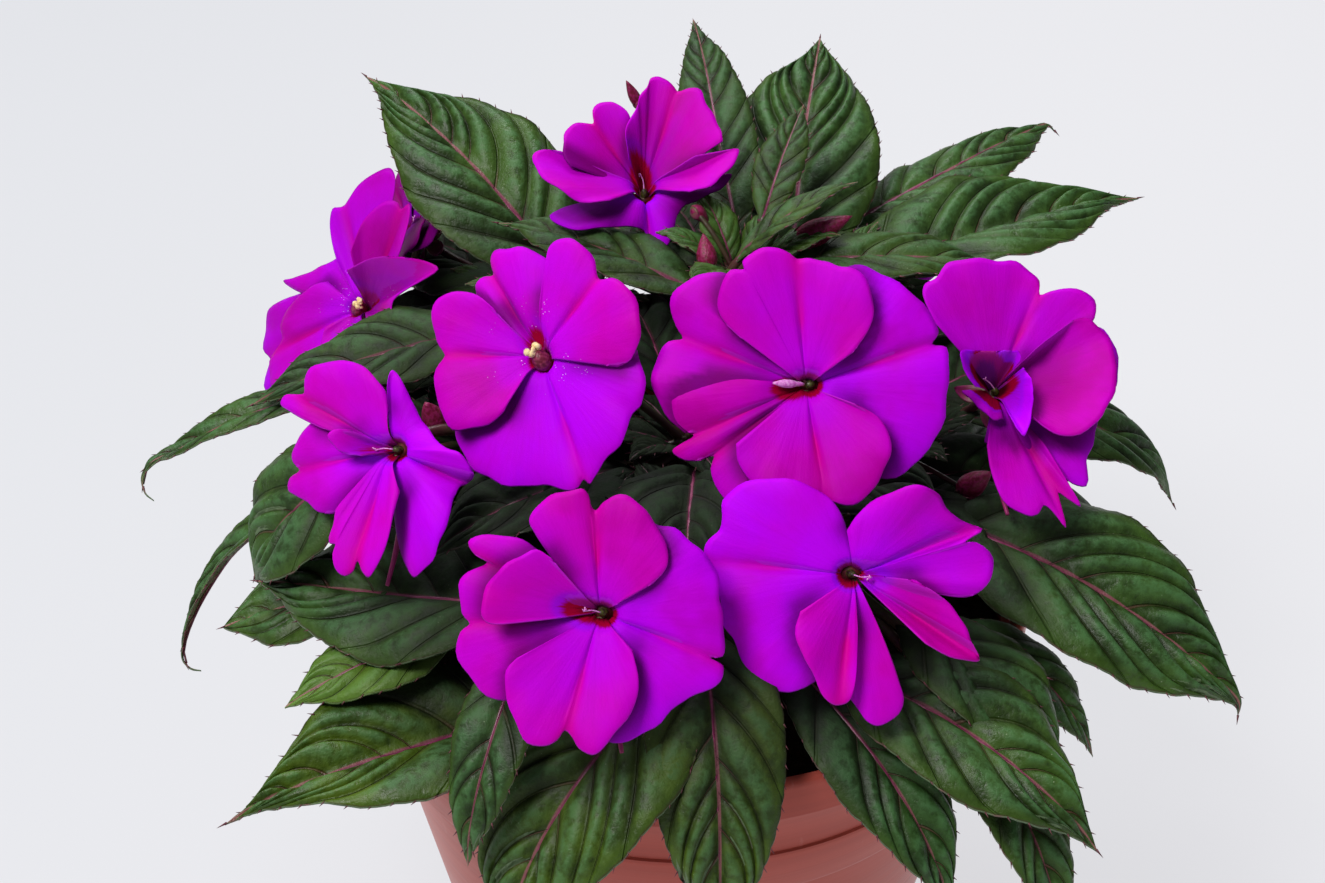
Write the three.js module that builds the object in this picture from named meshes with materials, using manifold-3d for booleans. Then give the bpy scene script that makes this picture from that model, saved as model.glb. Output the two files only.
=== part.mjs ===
// A potted busy lizzie of the New Guinea kind: plastic pot, potting soil, leafy stems and blooms.
// Millimetres, +Z up. The origin is the centre of the pot's underside, on the surface it stands on.
// Places on the plant are [x, y, height above the pot's rim].

import * as THREE from 'three';
import { mergeVertices } from 'three/addons/utils/BufferGeometryUtils.js';
import Module from 'manifold-3d';

const wasm = await Module();
wasm.setup();

// ---------------------------------------------------------------- driving dimensions

const POT = {
  height: 130,
  rimRadius: 80,
  rimBand: 11,
  stepRadius: 76,
  collarHeight: 39.5,
  collarRadius: 73,
  ledgeRadius: 71,
  baseRadius: 54,
  rimEase: 1,
  wall: 2.2,
  floor: 3,
  sides: 32,
};
const DRAIN = { count: 5, radius: 5, circle: 32, sides: 8 };

const SOIL = { below: 13, crown: 4, dip: 2, shoulder: 0.55, holeDepth: 26, inset: 0.9, sides: 24 };

// The gap where two pieces touch.
const FIT = 0.3;

const STEM = { radius: 3.2, hole: 5.6, sides: 6, steps: 5, knee: 8, bow: 6, joint: 0.97 };
const PETIOLE = { radius: 1.4, sides: 4, steps: 2, bend: 0.5, middle: 0.6, ease: 0.25, underBlade: 0.04 };
const STALK = { radius: 1.2, sides: 4, steps: 4, straight: 14, bow: 3 };

// A bud's outline as [share of its half width, share of its length], and how deep its stalk goes in.
const BUD = { profile: [[0, 0], [0.7, 0.18], [1, 0.45], [0.5, 0.8], [0, 1]], sides: 5, sunk: 0.25 };

const BLADE = {
  thickness: 0.8,
  rows: 5,
  handles: [0.33, 0.7],
  midColumn: 0.52,
  baseHalfWidth: 1.1,
  tooth: 0.05,
  toothLean: 0.3,
  quilt: 0.55,
  valley: 0.42,
  shoulder: 0.34,
  swell: 0.9,
  taper: 1.15,
};

const PETAL = {
  thickness: 0.8,
  layer: 1.05,
  middleLayer: 1.5,
  rings: [0.05, 0.58, 1],
  columns: [1, 4, 6],
  notchWidth: 0.28,
  creaseWidth: 0.3,
  creaseEnd: 0.9,
};
const THROAT = { front: 3.2, back: 1.6, rise: 2.6, depth: 5.2, sides: 6 };

const FINISH = {
  pot: { color: 0xa8584c, roughness: 0.38 },
  soil: { color: 0x2a1d15, roughness: 0.95 },
  leaf: { color: 0x2c4f2b, roughness: 0.5 },
  bloom: { color: 0xb800c8, roughness: 0.6 },
};

// ---------------------------------------------------------------- the plant, piece by piece

// A leaf: where its blade starts, where its tip is, its width, and how it bows.
// rise and fall lift the first and second half of the midrib above the straight line, sway bends it
// sideways, roll turns the blade about its length and at is how far up the stem it grows.
const leaf = (from, to, width, bow = {}) => ({
  from, to, width, rise: 10, fall: 10, sway: 0, roll: 0, at: 0.92, ...bow,
});

// A bud or a folded young leaf at the end of a short stalk: its foot, its tip and its width.
const bud = (from, to, width, at = 0.96) => ({ from, to, width, at });

const STEMS = [
  {
    name: 'leafy_stem_crown',
    root: [4, 8],
    top: [12, 29, 58],
    leaves: [
      leaf([14, 40, 58], [2, 116, 80], 24, { rise: 5, fall: 7, roll: -6, rows: 6 }),
      leaf([24, 46, 50], [34, 118, 74], 38, { rise: 4, fall: 7, at: 0.8, rows: 6 }),
      leaf([18, 36, 65], [27, 70, 79], 15, { rise: 3, fall: 3, roll: 4 }),
      leaf([16, 22, 66], [38, 33, 77], 11, { rise: 4, fall: 3, roll: -20, rows: 4 }),
      leaf([4, 19, 55], [-44, 42, 61], 22, { rise: 3, fall: 4, roll: 4 }),
      leaf([22, 25, 60], [68, 29, 60], 18, { rise: 6, fall: 6, roll: -22, rows: 4 }),
    ],
    stalks: ['bloom_top'],
    buds: [bud([9, 27, 64], [5, 21, 74], 5), bud([16, 26, 66], [29, 20, 73], 6)],
  },
  {
    name: 'leafy_stem_back_left',
    root: [-14, 14],
    top: [-28, 32, 44],
    leaves: [
      leaf([-30, 40, 47], [-80, 91, 78], 40, { rise: 8, fall: 8, roll: -5, rows: 6 }),
      leaf([-42, 11, 51], [-122, -8, 20], 25, { rise: 0, fall: 11, roll: -4, rows: 6 }),
      leaf([-42, 44, 24], [-112, 60, -8], 30, { rise: 9, fall: 15, at: 0.75, rows: 4 }),
    ],
    stalks: ['bloom_far_left', 'bloom_far_left_back'],
    buds: [],
  },
  {
    name: 'leafy_stem_left',
    root: [-26, 0],
    top: [-46, -8, 34],
    leaves: [
      leaf([-64, -6, 22], [-112, -22, -20], 26, { rise: 6, fall: 16, at: 0.85 }),
      leaf([-58, -20, 44], [-94, -26, 10], 22, { rise: 6, fall: 12, roll: 10 }),
      leaf([-52, 10, 12], [-102, 28, -34], 30, { rise: 9, fall: 16, at: 0.7 }),
      leaf([-52, -20, 10], [-102, -28, -6], 24, { rise: 6, fall: 8, at: 0.6, rows: 4 }),
    ],
    stalks: ['bloom_left'],
    buds: [bud([-52, -12, 40], [-56, -14, 49], 6)],
  },
  {
    name: 'leafy_stem_front_left',
    root: [-18, -18],
    top: [-24, -40, 28],
    leaves: [
      leaf([-30, -54, 27], [-91, -32, 13], 36, { rise: 6, fall: 7, roll: -14, at: 0.96, rows: 6 }),
      leaf([-42, -44, 22], [-81, -65, 8], 20, { rise: 4, fall: 5, at: 0.8 }),
      leaf([-39, -56, 9], [-91, -85, -7], 34, { rise: 7, fall: 10, at: 0.7, rows: 6 }),
      leaf([-29, -64, 27], [-44, -94, -9], 24, { rise: 8, fall: 10, at: 0.9 }),
    ],
    stalks: ['bloom_front_left'],
    buds: [],
  },
  {
    name: 'leafy_stem_front',
    root: [2, -24],
    top: [2, -38, 30],
    leaves: [
      leaf([-2, -58, 22], [-42, -98, -32], 34, { rise: 15, fall: 19, roll: 8, at: 0.8, rows: 6 }),
      leaf([4, -52, 32], [9, -100, -26], 29, { rise: 16, fall: 18, at: 0.95, rows: 6 }),
      leaf([20, -52, 12], [54, -92, -22], 28, { rise: 11, fall: 13, at: 0.7 }),
    ],
    stalks: [],
    buds: [],
  },
  {
    name: 'leafy_stem_front_right',
    root: [20, -18],
    top: [34, -36, 28],
    leaves: [
      leaf([32, -54, 24], [81, -88, -8], 38, { rise: 9, fall: 11, roll: 10, at: 0.95, rows: 6 }),
      leaf([46, -44, 14], [77, -72, -5], 28, { rise: 8, fall: 10, at: 0.8 }),
      leaf([50, -56, 8], [77, -92, -31], 22, { rise: 10, fall: 12, at: 0.65 }),
      leaf([52, -36, 8], [88, -52, -16], 22, { rise: 9, fall: 9, at: 0.6 }),
    ],
    stalks: ['bloom_front_right'],
    buds: [],
  },
  {
    name: 'leafy_stem_right',
    root: [28, 0],
    top: [46, -2, 30],
    leaves: [
      leaf([54, -19, 27], [119, -49, -6], 40, { rise: 9, fall: 11, roll: 12, rows: 6 }),
      leaf([60, 8, 32], [113, 6, 8], 28, { rise: 12, fall: 16 }),
      leaf([52, 14, 18], [104, 38, -30], 30, { rise: 10, fall: 14, at: 0.75, rows: 4 }),
    ],
    stalks: ['bloom_right'],
    buds: [bud([60, -12, 24], [66, -16, 33], 6)],
  },
  {
    name: 'leafy_stem_back_right',
    root: [20, 16],
    top: [34, 40, 44],
    leaves: [
      leaf([41, 50, 45], [93, 105, 56], 25, { rise: 2, fall: 3, at: 0.93 }),
      leaf([42, 40, 52], [111, 73, 52], 36, { rise: 6, fall: 7, at: 0.96, rows: 6 }),
      leaf([44, 50, 20], [98, 84, -16], 32, { rise: 8, fall: 13, at: 0.75 }),
    ],
    stalks: ['bloom_back_right'],
    buds: [],
  },
  {
    name: 'leafy_stem_back',
    root: [2, 28],
    top: [4, 62, 30],
    leaves: [
      leaf([-4, 74, 26], [-26, 132, -8], 34, { rise: 11, fall: 17 }),
      leaf([12, 76, 22], [36, 134, -12], 34, { rise: 10, fall: 16, at: 0.85 }),
      leaf([20, 66, 12], [74, 112, -20], 32, { rise: 11, fall: 15, at: 0.7, rows: 4 }),
    ],
    stalks: ['bloom_back'],
    buds: [],
  },
  {
    name: 'leafy_stem_far_back_left',
    root: [-18, 32],
    top: [-38, 60, 28],
    leaves: [
      leaf([-46, 70, 22], [-72, 122, -6], 34, { rise: 10, fall: 16 }),
      leaf([-52, 64, 14], [-102, 100, -16], 32, { rise: 9, fall: 15, at: 0.85 }),
      leaf([-44, 70, 4], [-92, 104, -34], 28, { rise: 10, fall: 14, at: 0.7, rows: 4 }),
    ],
    stalks: ['bloom_back_left'],
    buds: [],
  },
  {
    name: 'leafy_stem_middle',
    root: [-5, -4],
    top: [0, -8, 36],
    leaves: [
      leaf([2, -20, 36], [0, -64, 34], 30, { rise: 6, fall: 7 }),
      leaf([-11, -15, 32], [-52, -46, 32], 28, { rise: 6, fall: 7 }),
      leaf([12, -16, 34], [56, -40, 36], 30, { rise: 6, fall: 7 }),
      leaf([11, 1, 38], [52, 17, 44], 30, { rise: 6, fall: 6 }),
      leaf([-10, 0, 35], [-46, 4, 38], 26, { rise: 5, fall: 6 }),
      leaf([-3, 4, 38], [-15, 49, 37], 27, { rise: 5, fall: 6 }),
    ],
    stalks: ['bloom_upper_left', 'bloom_centre_right'],
    buds: [],
  },
];

// A petal: the way it points as a clock angle seen from the front, its length, half its spread in
// degrees, its layer from back to front, how far it cups forward, the depth of the notch in its edge
// and the fold along its crease.
const petal = (angle, length, spread, layer, form = {}) => ({
  angle, length, spread, layer, cup: 2, notch: 0.1, crease: 0.8, round: 0.36, ...form,
});

// A bloom: the middle of its throat, the way it faces and its petals.
const BLOOMS = [
  {
    name: 'bloom_centre_right',
    at: [24, -32, 66],
    facing: [-0.06, -0.83, 0.55],
    petals: [
      petal(82, 29, 58, 0, { cup: 0 }),
      petal(299, 32, 40, 1),
      petal(224, 30, 40, 2),
      petal(173, 24, 44, 3),
      petal(-3, 28, 46, 3),
    ],
  },
  {
    name: 'bloom_upper_left',
    at: [-30, -24, 67],
    facing: [-0.39, -0.72, 0.57],
    petals: [
      petal(160, 29, 60, 0),
      petal(232, 25, 34, 1),
      petal(336, 24, 30, 1),
      petal(42, 26, 42, 2),
      petal(272, 26, 42, 3),
    ],
  },
  {
    name: 'bloom_top',
    at: [-10, 44, 70],
    facing: [0.02, -0.45, 0.89],
    petals: [
      petal(172, 25, 62, 0, { cup: 6 }),
      petal(328, 24, 34, 1, { cup: 8 }),
      petal(24, 27, 38, 2, { cup: 9 }),
      petal(280, 27, 22, 3, { cup: 9 }),
      petal(72, 24, 22, 3, { cup: 10 }),
    ],
  },
  {
    name: 'bloom_front_left',
    at: [-16, -75, 42],
    facing: [-0.04, -0.83, 0.55],
    petals: [
      petal(104, 27, 56, 0, { cup: 0 }),
      petal(264, 28, 44, 1),
      petal(195, 27, 42, 2),
      petal(0, 25, 48, 2),
      petal(284, 22, 32, 3, { cup: 4 }),
    ],
  },
  {
    name: 'bloom_front_right',
    at: [33, -63, 42],
    facing: [-0.02, -0.84, 0.54],
    petals: [
      petal(262, 29, 54, 0),
      petal(62, 27, 40, 1),
      petal(122, 29, 20, 2, { cup: 5 }),
      petal(167, 30, 19, 2),
      petal(194, 26, 22, 3),
    ],
  },
  {
    name: 'bloom_left',
    at: [-60, -36, 52],
    facing: [-0.38, -0.72, 0.58],
    petals: [
      petal(94, 23, 66, 0, { cup: -4 }),
      petal(296, 25, 16, 1),
      petal(330, 21, 36, 2),
      petal(250, 22, 32, 2),
      petal(198, 27, 24, 3),
    ],
  },
  {
    name: 'bloom_far_left',
    at: [-80, 38, 43],
    facing: [-0.6, -0.42, 0.68],
    petals: [
      petal(215, 30, 56, 0, { cup: -1 }),
      petal(350, 28, 34, 1, { cup: 3 }),
      petal(20, 22, 30, 2, { cup: 8 }),
      petal(290, 23, 24, 2),
      petal(92, 23, 30, 3, { cup: 8 }),
    ],
  },
  {
    name: 'bloom_far_left_back',
    at: [-76, 77, 44],
    facing: [-0.6, 0.4, 0.68],
    petals: [
      petal(180, 26, 56, 0),
      petal(322, 25, 38, 1),
      petal(38, 25, 38, 2),
      petal(268, 23, 34, 3),
      petal(94, 23, 34, 3),
    ],
  },
  {
    name: 'bloom_right',
    at: [66, -10, 51],
    facing: [0.1, -0.62, 0.78],
    petals: [
      petal(26, 26, 54, 0, { cup: 3 }),
      petal(300, 20, 28, 1, { cup: 6 }),
      petal(154, 29, 32, 1, { cup: -4 }),
      petal(92, 25, 38, 2, { cup: 5 }),
      petal(232, 16, 32, 3, { cup: 6 }),
    ],
  },
  {
    name: 'bloom_back_right',
    at: [56, 106, 34],
    facing: [0.4, 0.76, 0.5],
    petals: [
      petal(178, 28, 56, 0),
      petal(322, 27, 40, 1),
      petal(38, 27, 40, 2),
      petal(264, 25, 36, 3),
      petal(96, 25, 36, 3),
    ],
  },
  {
    name: 'bloom_back',
    at: [11, 101, 44],
    facing: [0.02, 0.78, 0.62],
    petals: [
      petal(200, 25, 56, 0),
      petal(340, 24, 40, 1),
      petal(56, 25, 38, 2),
      petal(286, 22, 34, 3),
      petal(118, 23, 34, 3),
    ],
  },
  {
    name: 'bloom_back_left',
    at: [-34, 105, 42],
    facing: [-0.35, 0.75, 0.56],
    petals: [
      petal(168, 28, 56, 0),
      petal(312, 27, 40, 1),
      petal(28, 27, 40, 2),
      petal(254, 25, 36, 3),
      petal(86, 25, 36, 3),
    ],
  },
];

// ---------------------------------------------------------------- solids and booleans

const vec = (list) => new THREE.Vector3(...list);
const onPlant = ([x, y, z]) => new THREE.Vector3(x, y, POT.height + z);
const mix = (a, b, t) => a.clone().lerp(b, t);
const radians = THREE.MathUtils.degToRad;

function solid(geometry) {
  const bare = geometry.clone();
  bare.deleteAttribute('normal');
  bare.deleteAttribute('uv');
  const welded = mergeVertices(bare, 1e-4);
  return new wasm.Manifold(new wasm.Mesh({
    numProp: 3,
    vertProperties: new Float32Array(welded.attributes.position.array),
    triVerts: new Uint32Array(welded.index.array),
  }));
}

function geometryOf(body) {
  const { vertProperties, triVerts } = body.getMesh();
  const geometry = new THREE.BufferGeometry();
  geometry.setAttribute('position', new THREE.BufferAttribute(new Float32Array(vertProperties), 3));
  geometry.setIndex(new THREE.BufferAttribute(new Uint32Array(triVerts), 1));
  geometry.computeVertexNormals();
  return geometry;
}

const fuse = (bodies) => bodies.reduce((whole, body) => whole.add(body));

function tube(path, radius, sides, steps) {
  const section = new THREE.Shape();
  for (let i = 0; i < sides; i += 1) {
    const turn = (2 * Math.PI * i) / sides;
    const corner = [radius * Math.cos(turn), radius * Math.sin(turn)];
    if (i === 0) section.moveTo(...corner);
    else section.lineTo(...corner);
  }
  section.closePath();
  return solid(new THREE.ExtrudeGeometry(section, { steps, extrudePath: path }));
}

// A thin sheet given by points, triangles seen from its upper face and the loop round its edge,
// made solid by moving two copies apart along the sheet's own normals.
function sheetSolid(points, triangles, edge, thickness) {
  const normals = points.map(() => new THREE.Vector3());
  for (const [a, b, c] of triangles) {
    const across = points[b].clone().sub(points[a]);
    const normal = points[c].clone().sub(points[a]);
    normal.crossVectors(across, normal);
    for (const corner of [a, b, c]) normals[corner].add(normal);
  }
  const count = points.length;
  const shifted = [1, -1].flatMap((side) => points.map(
    (point, i) => point.clone().addScaledVector(normals[i].clone().normalize(), (side * thickness) / 2),
  ));
  const faces = triangles.flatMap(([a, b, c]) => [[a, b, c], [a + count, c + count, b + count]]);
  edge.forEach((from, i) => {
    const to = edge[(i + 1) % edge.length];
    faces.push([to, from, from + count], [to, from + count, to + count]);
  });
  const geometry = new THREE.BufferGeometry();
  const places = shifted.flatMap((point) => point.toArray());
  geometry.setAttribute('position', new THREE.Float32BufferAttribute(places, 3));
  geometry.setIndex(faces.flat());
  return solid(geometry);
}

// ---------------------------------------------------------------- leaves and stems

function midribOf({ from, to, rise, fall, sway, roll }) {
  const foot = onPlant(from);
  const tip = onPlant(to);
  const chord = tip.clone().sub(foot);
  const along = chord.clone().normalize();
  const up = new THREE.Vector3(0, 0, 1).addScaledVector(along, -along.z).normalize();
  up.applyAxisAngle(along, radians(roll));
  const side = new THREE.Vector3().crossVectors(along, up);
  const handle = (share, lift) => (
    mix(foot, tip, share).addScaledVector(up, lift).addScaledVector(side, sway)
  );
  const [low, high] = BLADE.handles;
  return { curve: new THREE.CubicBezierCurve3(foot, handle(low, rise), handle(high, fall), tip), up };
}

// Half the width of a lance-shaped blade, 1 at its widest.
function outline(v) {
  const { swell, taper } = BLADE;
  const widest = swell / (swell + taper);
  return ((v / widest) ** swell) * (((1 - v) / (1 - widest)) ** taper);
}

function bladeSolid(spec) {
  const { curve, up } = midribOf(spec);
  const place = (u, v, bulge) => {
    const along = curve.getTangent(v);
    const side = new THREE.Vector3().crossVectors(along, up).normalize();
    const normal = new THREE.Vector3().crossVectors(side, along);
    const half = Math.max((spec.width / 2) * outline(v), BLADE.baseHalfWidth * (1 - v));
    const across = Math.abs(u);
    const lift = half * (BLADE.valley * across - BLADE.shoulder * across * across) + bulge;
    return curve.getPoint(v).addScaledVector(side, u * half).addScaledVector(normal, lift);
  };

  const rows = spec.rows ?? BLADE.rows;
  const points = [];
  const add = (...where) => points.push(place(...where)) - 1;
  const midrib = [];
  for (let i = 0; i < rows; i += 1) midrib.push(add(0, i / rows, 0));
  const tip = add(0, 1, 0);
  const triangles = [];
  const margins = [];
  for (const side of [1, -1]) {
    const mid = [midrib[0]];
    for (let i = 1; i < rows; i += 1) {
      mid.push(add(side * BLADE.midColumn, i / rows, i % 2 ? BLADE.quilt : -BLADE.quilt));
    }
    const margin = [];
    for (let j = 0; j < 2 * rows; j += 1) {
      const out = j % 2 === 1;
      const v = (j + (out ? BLADE.toothLean : 0)) / (2 * rows);
      margin.push(add(side * (1 + (out ? BLADE.tooth : -BLADE.tooth)), v, 0));
    }
    margin.push(tip);
    const face = (a, b, c) => triangles.push(side > 0 ? [a, b, c] : [a, c, b]);
    for (let i = 0; i < rows; i += 1) {
      const inner = mid[i];
      const next = i + 1 < rows ? mid[i + 1] : tip;
      const [low, tooth, high] = margin.slice(2 * i, 2 * i + 3);
      if (i > 0) face(midrib[i], inner, next);
      if (i + 1 < rows) face(midrib[i], next, midrib[i + 1]);
      face(inner, low, tooth);
      face(inner, tooth, next);
      if (high !== next) face(next, tooth, high);
    }
    margins.push(margin);
  }
  const [right, left] = margins;
  const edge = [midrib[0], ...right, ...left.slice(0, -1).reverse()];
  return { body: sheetSolid(points, triangles, edge, BLADE.thickness), curve };
}

function stemPath({ root, top }) {
  const [x, y] = root;
  const foot = new THREE.Vector3(x, y, POT.height - SOIL.below - SOIL.holeDepth + FIT);
  const head = onPlant(top);
  const knee = new THREE.Vector3(x, y, POT.height - SOIL.below + STEM.knee);
  const rise = mix(knee, head, 0.5).add(vec([0, 0, STEM.bow]));
  return new THREE.CatmullRomCurve3([foot, knee, rise, head]);
}

function petioleSolid(start, curve) {
  const foot = curve.getPoint(0);
  const under = curve.getPoint(PETIOLE.underBlade);
  const before = foot.clone().addScaledVector(curve.getTangent(0), -PETIOLE.bend * start.distanceTo(foot));
  const middle = mix(start, before, PETIOLE.middle).lerp(foot, PETIOLE.ease);
  const path = new THREE.CatmullRomCurve3([start, middle, foot, under]);
  return tube(path, PETIOLE.radius, PETIOLE.sides, PETIOLE.steps);
}

function budSolids(start, { from, to, width }) {
  const foot = onPlant(from);
  const tip = onPlant(to);
  const length = foot.distanceTo(tip);
  const shape = new THREE.LatheGeometry(
    BUD.profile.map(([r, h]) => new THREE.Vector2((r * width) / 2, h * length)), BUD.sides,
  );
  shape.applyQuaternion(new THREE.Quaternion().setFromUnitVectors(
    new THREE.Vector3(0, 1, 0), tip.clone().sub(foot).normalize(),
  ));
  shape.translate(...foot.toArray());
  const stalk = new THREE.LineCurve3(start, mix(foot, tip, BUD.sunk));
  return [solid(shape), tube(stalk, STALK.radius, STALK.sides, 1)];
}

function stalkSolid(start, bloom) {
  const facing = vec(bloom.facing).normalize();
  const seat = onPlant(bloom.at).addScaledVector(facing, -THROAT.depth - FIT);
  const below = seat.clone().addScaledVector(facing, -STALK.straight);
  const halfway = mix(start, below, 0.5).add(vec([0, 0, STALK.bow]));
  const path = new THREE.CubicBezierCurve3(start, halfway, below, seat);
  return tube(path, STALK.radius, STALK.sides, STALK.steps);
}

function leafyStem(spec) {
  const path = stemPath(spec);
  const bodies = [tube(path, STEM.radius, STEM.sides, STEM.steps)];
  for (const one of spec.leaves) {
    const { body, curve } = bladeSolid(one);
    bodies.push(body, petioleSolid(path.getPoint(one.at), curve));
  }
  for (const one of spec.buds) bodies.push(...budSolids(path.getPoint(one.at), one));
  for (const name of spec.stalks) {
    bodies.push(stalkSolid(path.getPoint(STEM.joint), BLOOMS.find((bloom) => bloom.name === name)));
  }
  return fuse(bodies);
}

// ---------------------------------------------------------------- blooms

// The edge of a two-lobed petal: its reach at u, from -1 to 1 across it.
function petalReach(u, { length, notch, round }) {
  const lobes = 1 - notch * Math.exp(-((u / PETAL.notchWidth) ** 2));
  return length * lobes * (1 - round * u ** 4);
}

function petalSolid(spec) {
  const turn = radians(spec.angle);
  const place = (u, v) => {
    const reach = v * petalReach(u, spec);
    const swing = turn + radians(spec.spread) * u;
    const share = reach / spec.length;
    const nearCrease = Math.exp(-((u / PETAL.creaseWidth) ** 2));
    const fold = spec.crease * nearCrease * Math.sin(Math.PI * Math.min(v, PETAL.creaseEnd));
    const height = PETAL.layer * (spec.layer - PETAL.middleLayer) + spec.cup * share * share - fold;
    return new THREE.Vector3(reach * Math.sin(swing), reach * Math.cos(swing), height);
  };
  const points = [];
  const rings = PETAL.rings.map((v, ring) => {
    const row = [];
    const columns = PETAL.columns[ring];
    for (let i = 0; i <= columns; i += 1) row.push(points.push(place((2 * i) / columns - 1, v)) - 1);
    return row;
  });
  const triangles = [];
  for (let ring = 0; ring + 1 < rings.length; ring += 1) {
    const [near, far] = [rings[ring], rings[ring + 1]];
    let [i, j] = [0, 0];
    while (i + 1 < near.length || j + 1 < far.length) {
      const nearNext = (i + 1) / (near.length - 1);
      const farNext = (j + 1) / (far.length - 1);
      if (j + 1 < far.length && (farNext <= nearNext || i + 1 >= near.length)) {
        triangles.push([near[i], far[j + 1], far[j]]);
        j += 1;
      } else {
        triangles.push([near[i], near[i + 1], far[j]]);
        i += 1;
      }
    }
  }
  const right = rings.map((row) => row.at(-1));
  const left = rings.map((row) => row[0]);
  const rim = rings.at(-1).slice(0, -1).reverse();
  const edge = [...rings[0], ...right.slice(1), ...rim, ...left.slice(1, -1).reverse()];
  return sheetSolid(points, triangles, edge, PETAL.thickness);
}

function bloomSolid(spec) {
  const tall = THROAT.rise + THROAT.depth;
  const throat = new THREE.CylinderGeometry(THROAT.front, THROAT.back, tall, THROAT.sides);
  throat.rotateX(Math.PI / 2);
  throat.translate(0, 0, THROAT.rise - tall / 2);
  const bodies = [solid(throat), ...spec.petals.map(petalSolid)];

  const facing = vec(spec.facing).normalize();
  const up = new THREE.Vector3(0, 0, 1).addScaledVector(facing, -facing.z).normalize();
  const right = new THREE.Vector3().crossVectors(up, facing);
  const seat = new THREE.Matrix4().makeBasis(right, up, facing).setPosition(onPlant(spec.at));
  return fuse(bodies).transform([...seat.elements]);
}

// ---------------------------------------------------------------- pot and soil

function lathe(profile, sides) {
  const corners = profile.map(([r, z]) => new THREE.Vector2(r, z));
  return new THREE.LatheGeometry(corners, sides).rotateX(Math.PI / 2);
}

function uprightCylinder(radius, height, sides, x, y, z) {
  const cylinder = new THREE.CylinderGeometry(radius, radius, height, sides);
  cylinder.rotateX(Math.PI / 2);
  cylinder.translate(x, y, z);
  return solid(cylinder);
}

// The pot's outer radius in the tapering body below its ledge, and in the collar between ledge and rim.
function bodyRadius(z) {
  return POT.baseRadius + ((POT.ledgeRadius - POT.baseRadius) * z) / (POT.height - POT.collarHeight);
}

function collarRadius(z) {
  const share = (z - POT.height + POT.collarHeight) / (POT.collarHeight - POT.rimBand);
  return POT.collarRadius + (POT.stepRadius - POT.collarRadius) * share;
}

function potSolid() {
  const { height, wall, floor, rimEase } = POT;
  const collar = height - POT.collarHeight;
  const band = height - POT.rimBand;
  const shell = solid(lathe([
    [0, 0],
    [POT.baseRadius, 0],
    [POT.ledgeRadius, collar],
    [POT.collarRadius, collar],
    [POT.stepRadius, band],
    [POT.rimRadius - rimEase / 2, band],
    [POT.rimRadius, height - rimEase],
    [POT.rimRadius - wall, height],
    [POT.stepRadius - wall, band],
    [POT.collarRadius - wall, collar],
    [POT.ledgeRadius - wall, collar - wall],
    [bodyRadius(floor) - wall, floor],
    [0, floor],
  ], POT.sides));
  const { count, circle, radius, sides } = DRAIN;
  const drains = Array.from({ length: count }, (_, i) => {
    const turn = (2 * Math.PI * (i + 0.5)) / count;
    return uprightCylinder(radius, 4 * floor, sides, circle * Math.cos(turn), circle * Math.sin(turn), 0);
  });
  return drains.reduce((pot, hole) => pot.subtract(hole), shell);
}

// Soil that fills the pot to a little below the rim, higher in the middle, with a hole for each stem.
// Its flats are fewer than the pot's, so its corners stay further in than the pot's wall.
function soilSolid() {
  const top = POT.height - SOIL.below;
  const edge = top - SOIL.dip;
  const collar = POT.height - POT.collarHeight;
  const inset = POT.wall + SOIL.inset;
  const body = solid(lathe([
    [0, POT.floor + FIT],
    [bodyRadius(POT.floor) - inset, POT.floor + FIT],
    [POT.ledgeRadius - inset, collar - POT.wall],
    [collarRadius(edge) - inset, edge],
    [POT.rimRadius * SOIL.shoulder, top],
    [0, top + SOIL.crown],
  ], SOIL.sides));
  const holes = STEMS.map(({ root: [x, y] }) => (
    uprightCylinder(STEM.hole, 2 * SOIL.holeDepth, STEM.sides, x, y, top)
  ));
  return holes.reduce((soil, hole) => soil.subtract(hole), body);
}

// ---------------------------------------------------------------- the whole plant

function node(name, body, { color, roughness }) {
  const material = new THREE.MeshStandardMaterial({ color, roughness, metalness: 0 });
  const mesh = new THREE.Mesh(geometryOf(body), material);
  mesh.name = name;
  return mesh;
}

const plant = new THREE.Group();
plant.add(node('pot', potSolid(), FINISH.pot));
plant.add(node('potting_soil', soilSolid(), FINISH.soil));
for (const stem of STEMS) plant.add(node(stem.name, leafyStem(stem), FINISH.leaf));
for (const bloom of BLOOMS) plant.add(node(bloom.name, bloomSolid(bloom), FINISH.bloom));

export default plant;
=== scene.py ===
# A potted busy lizzie of the New Guinea kind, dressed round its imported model: a plastic pot, potting
# soil, leafy stems and flowers. Metres, +Z up, standing on the floor at height 0.
# Places on the plant are written in millimetres as [x, y, height above the pot's rim].

import math
import random

import bmesh
import bpy
import numpy as np
from mathutils import Matrix, Vector, noise


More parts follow.
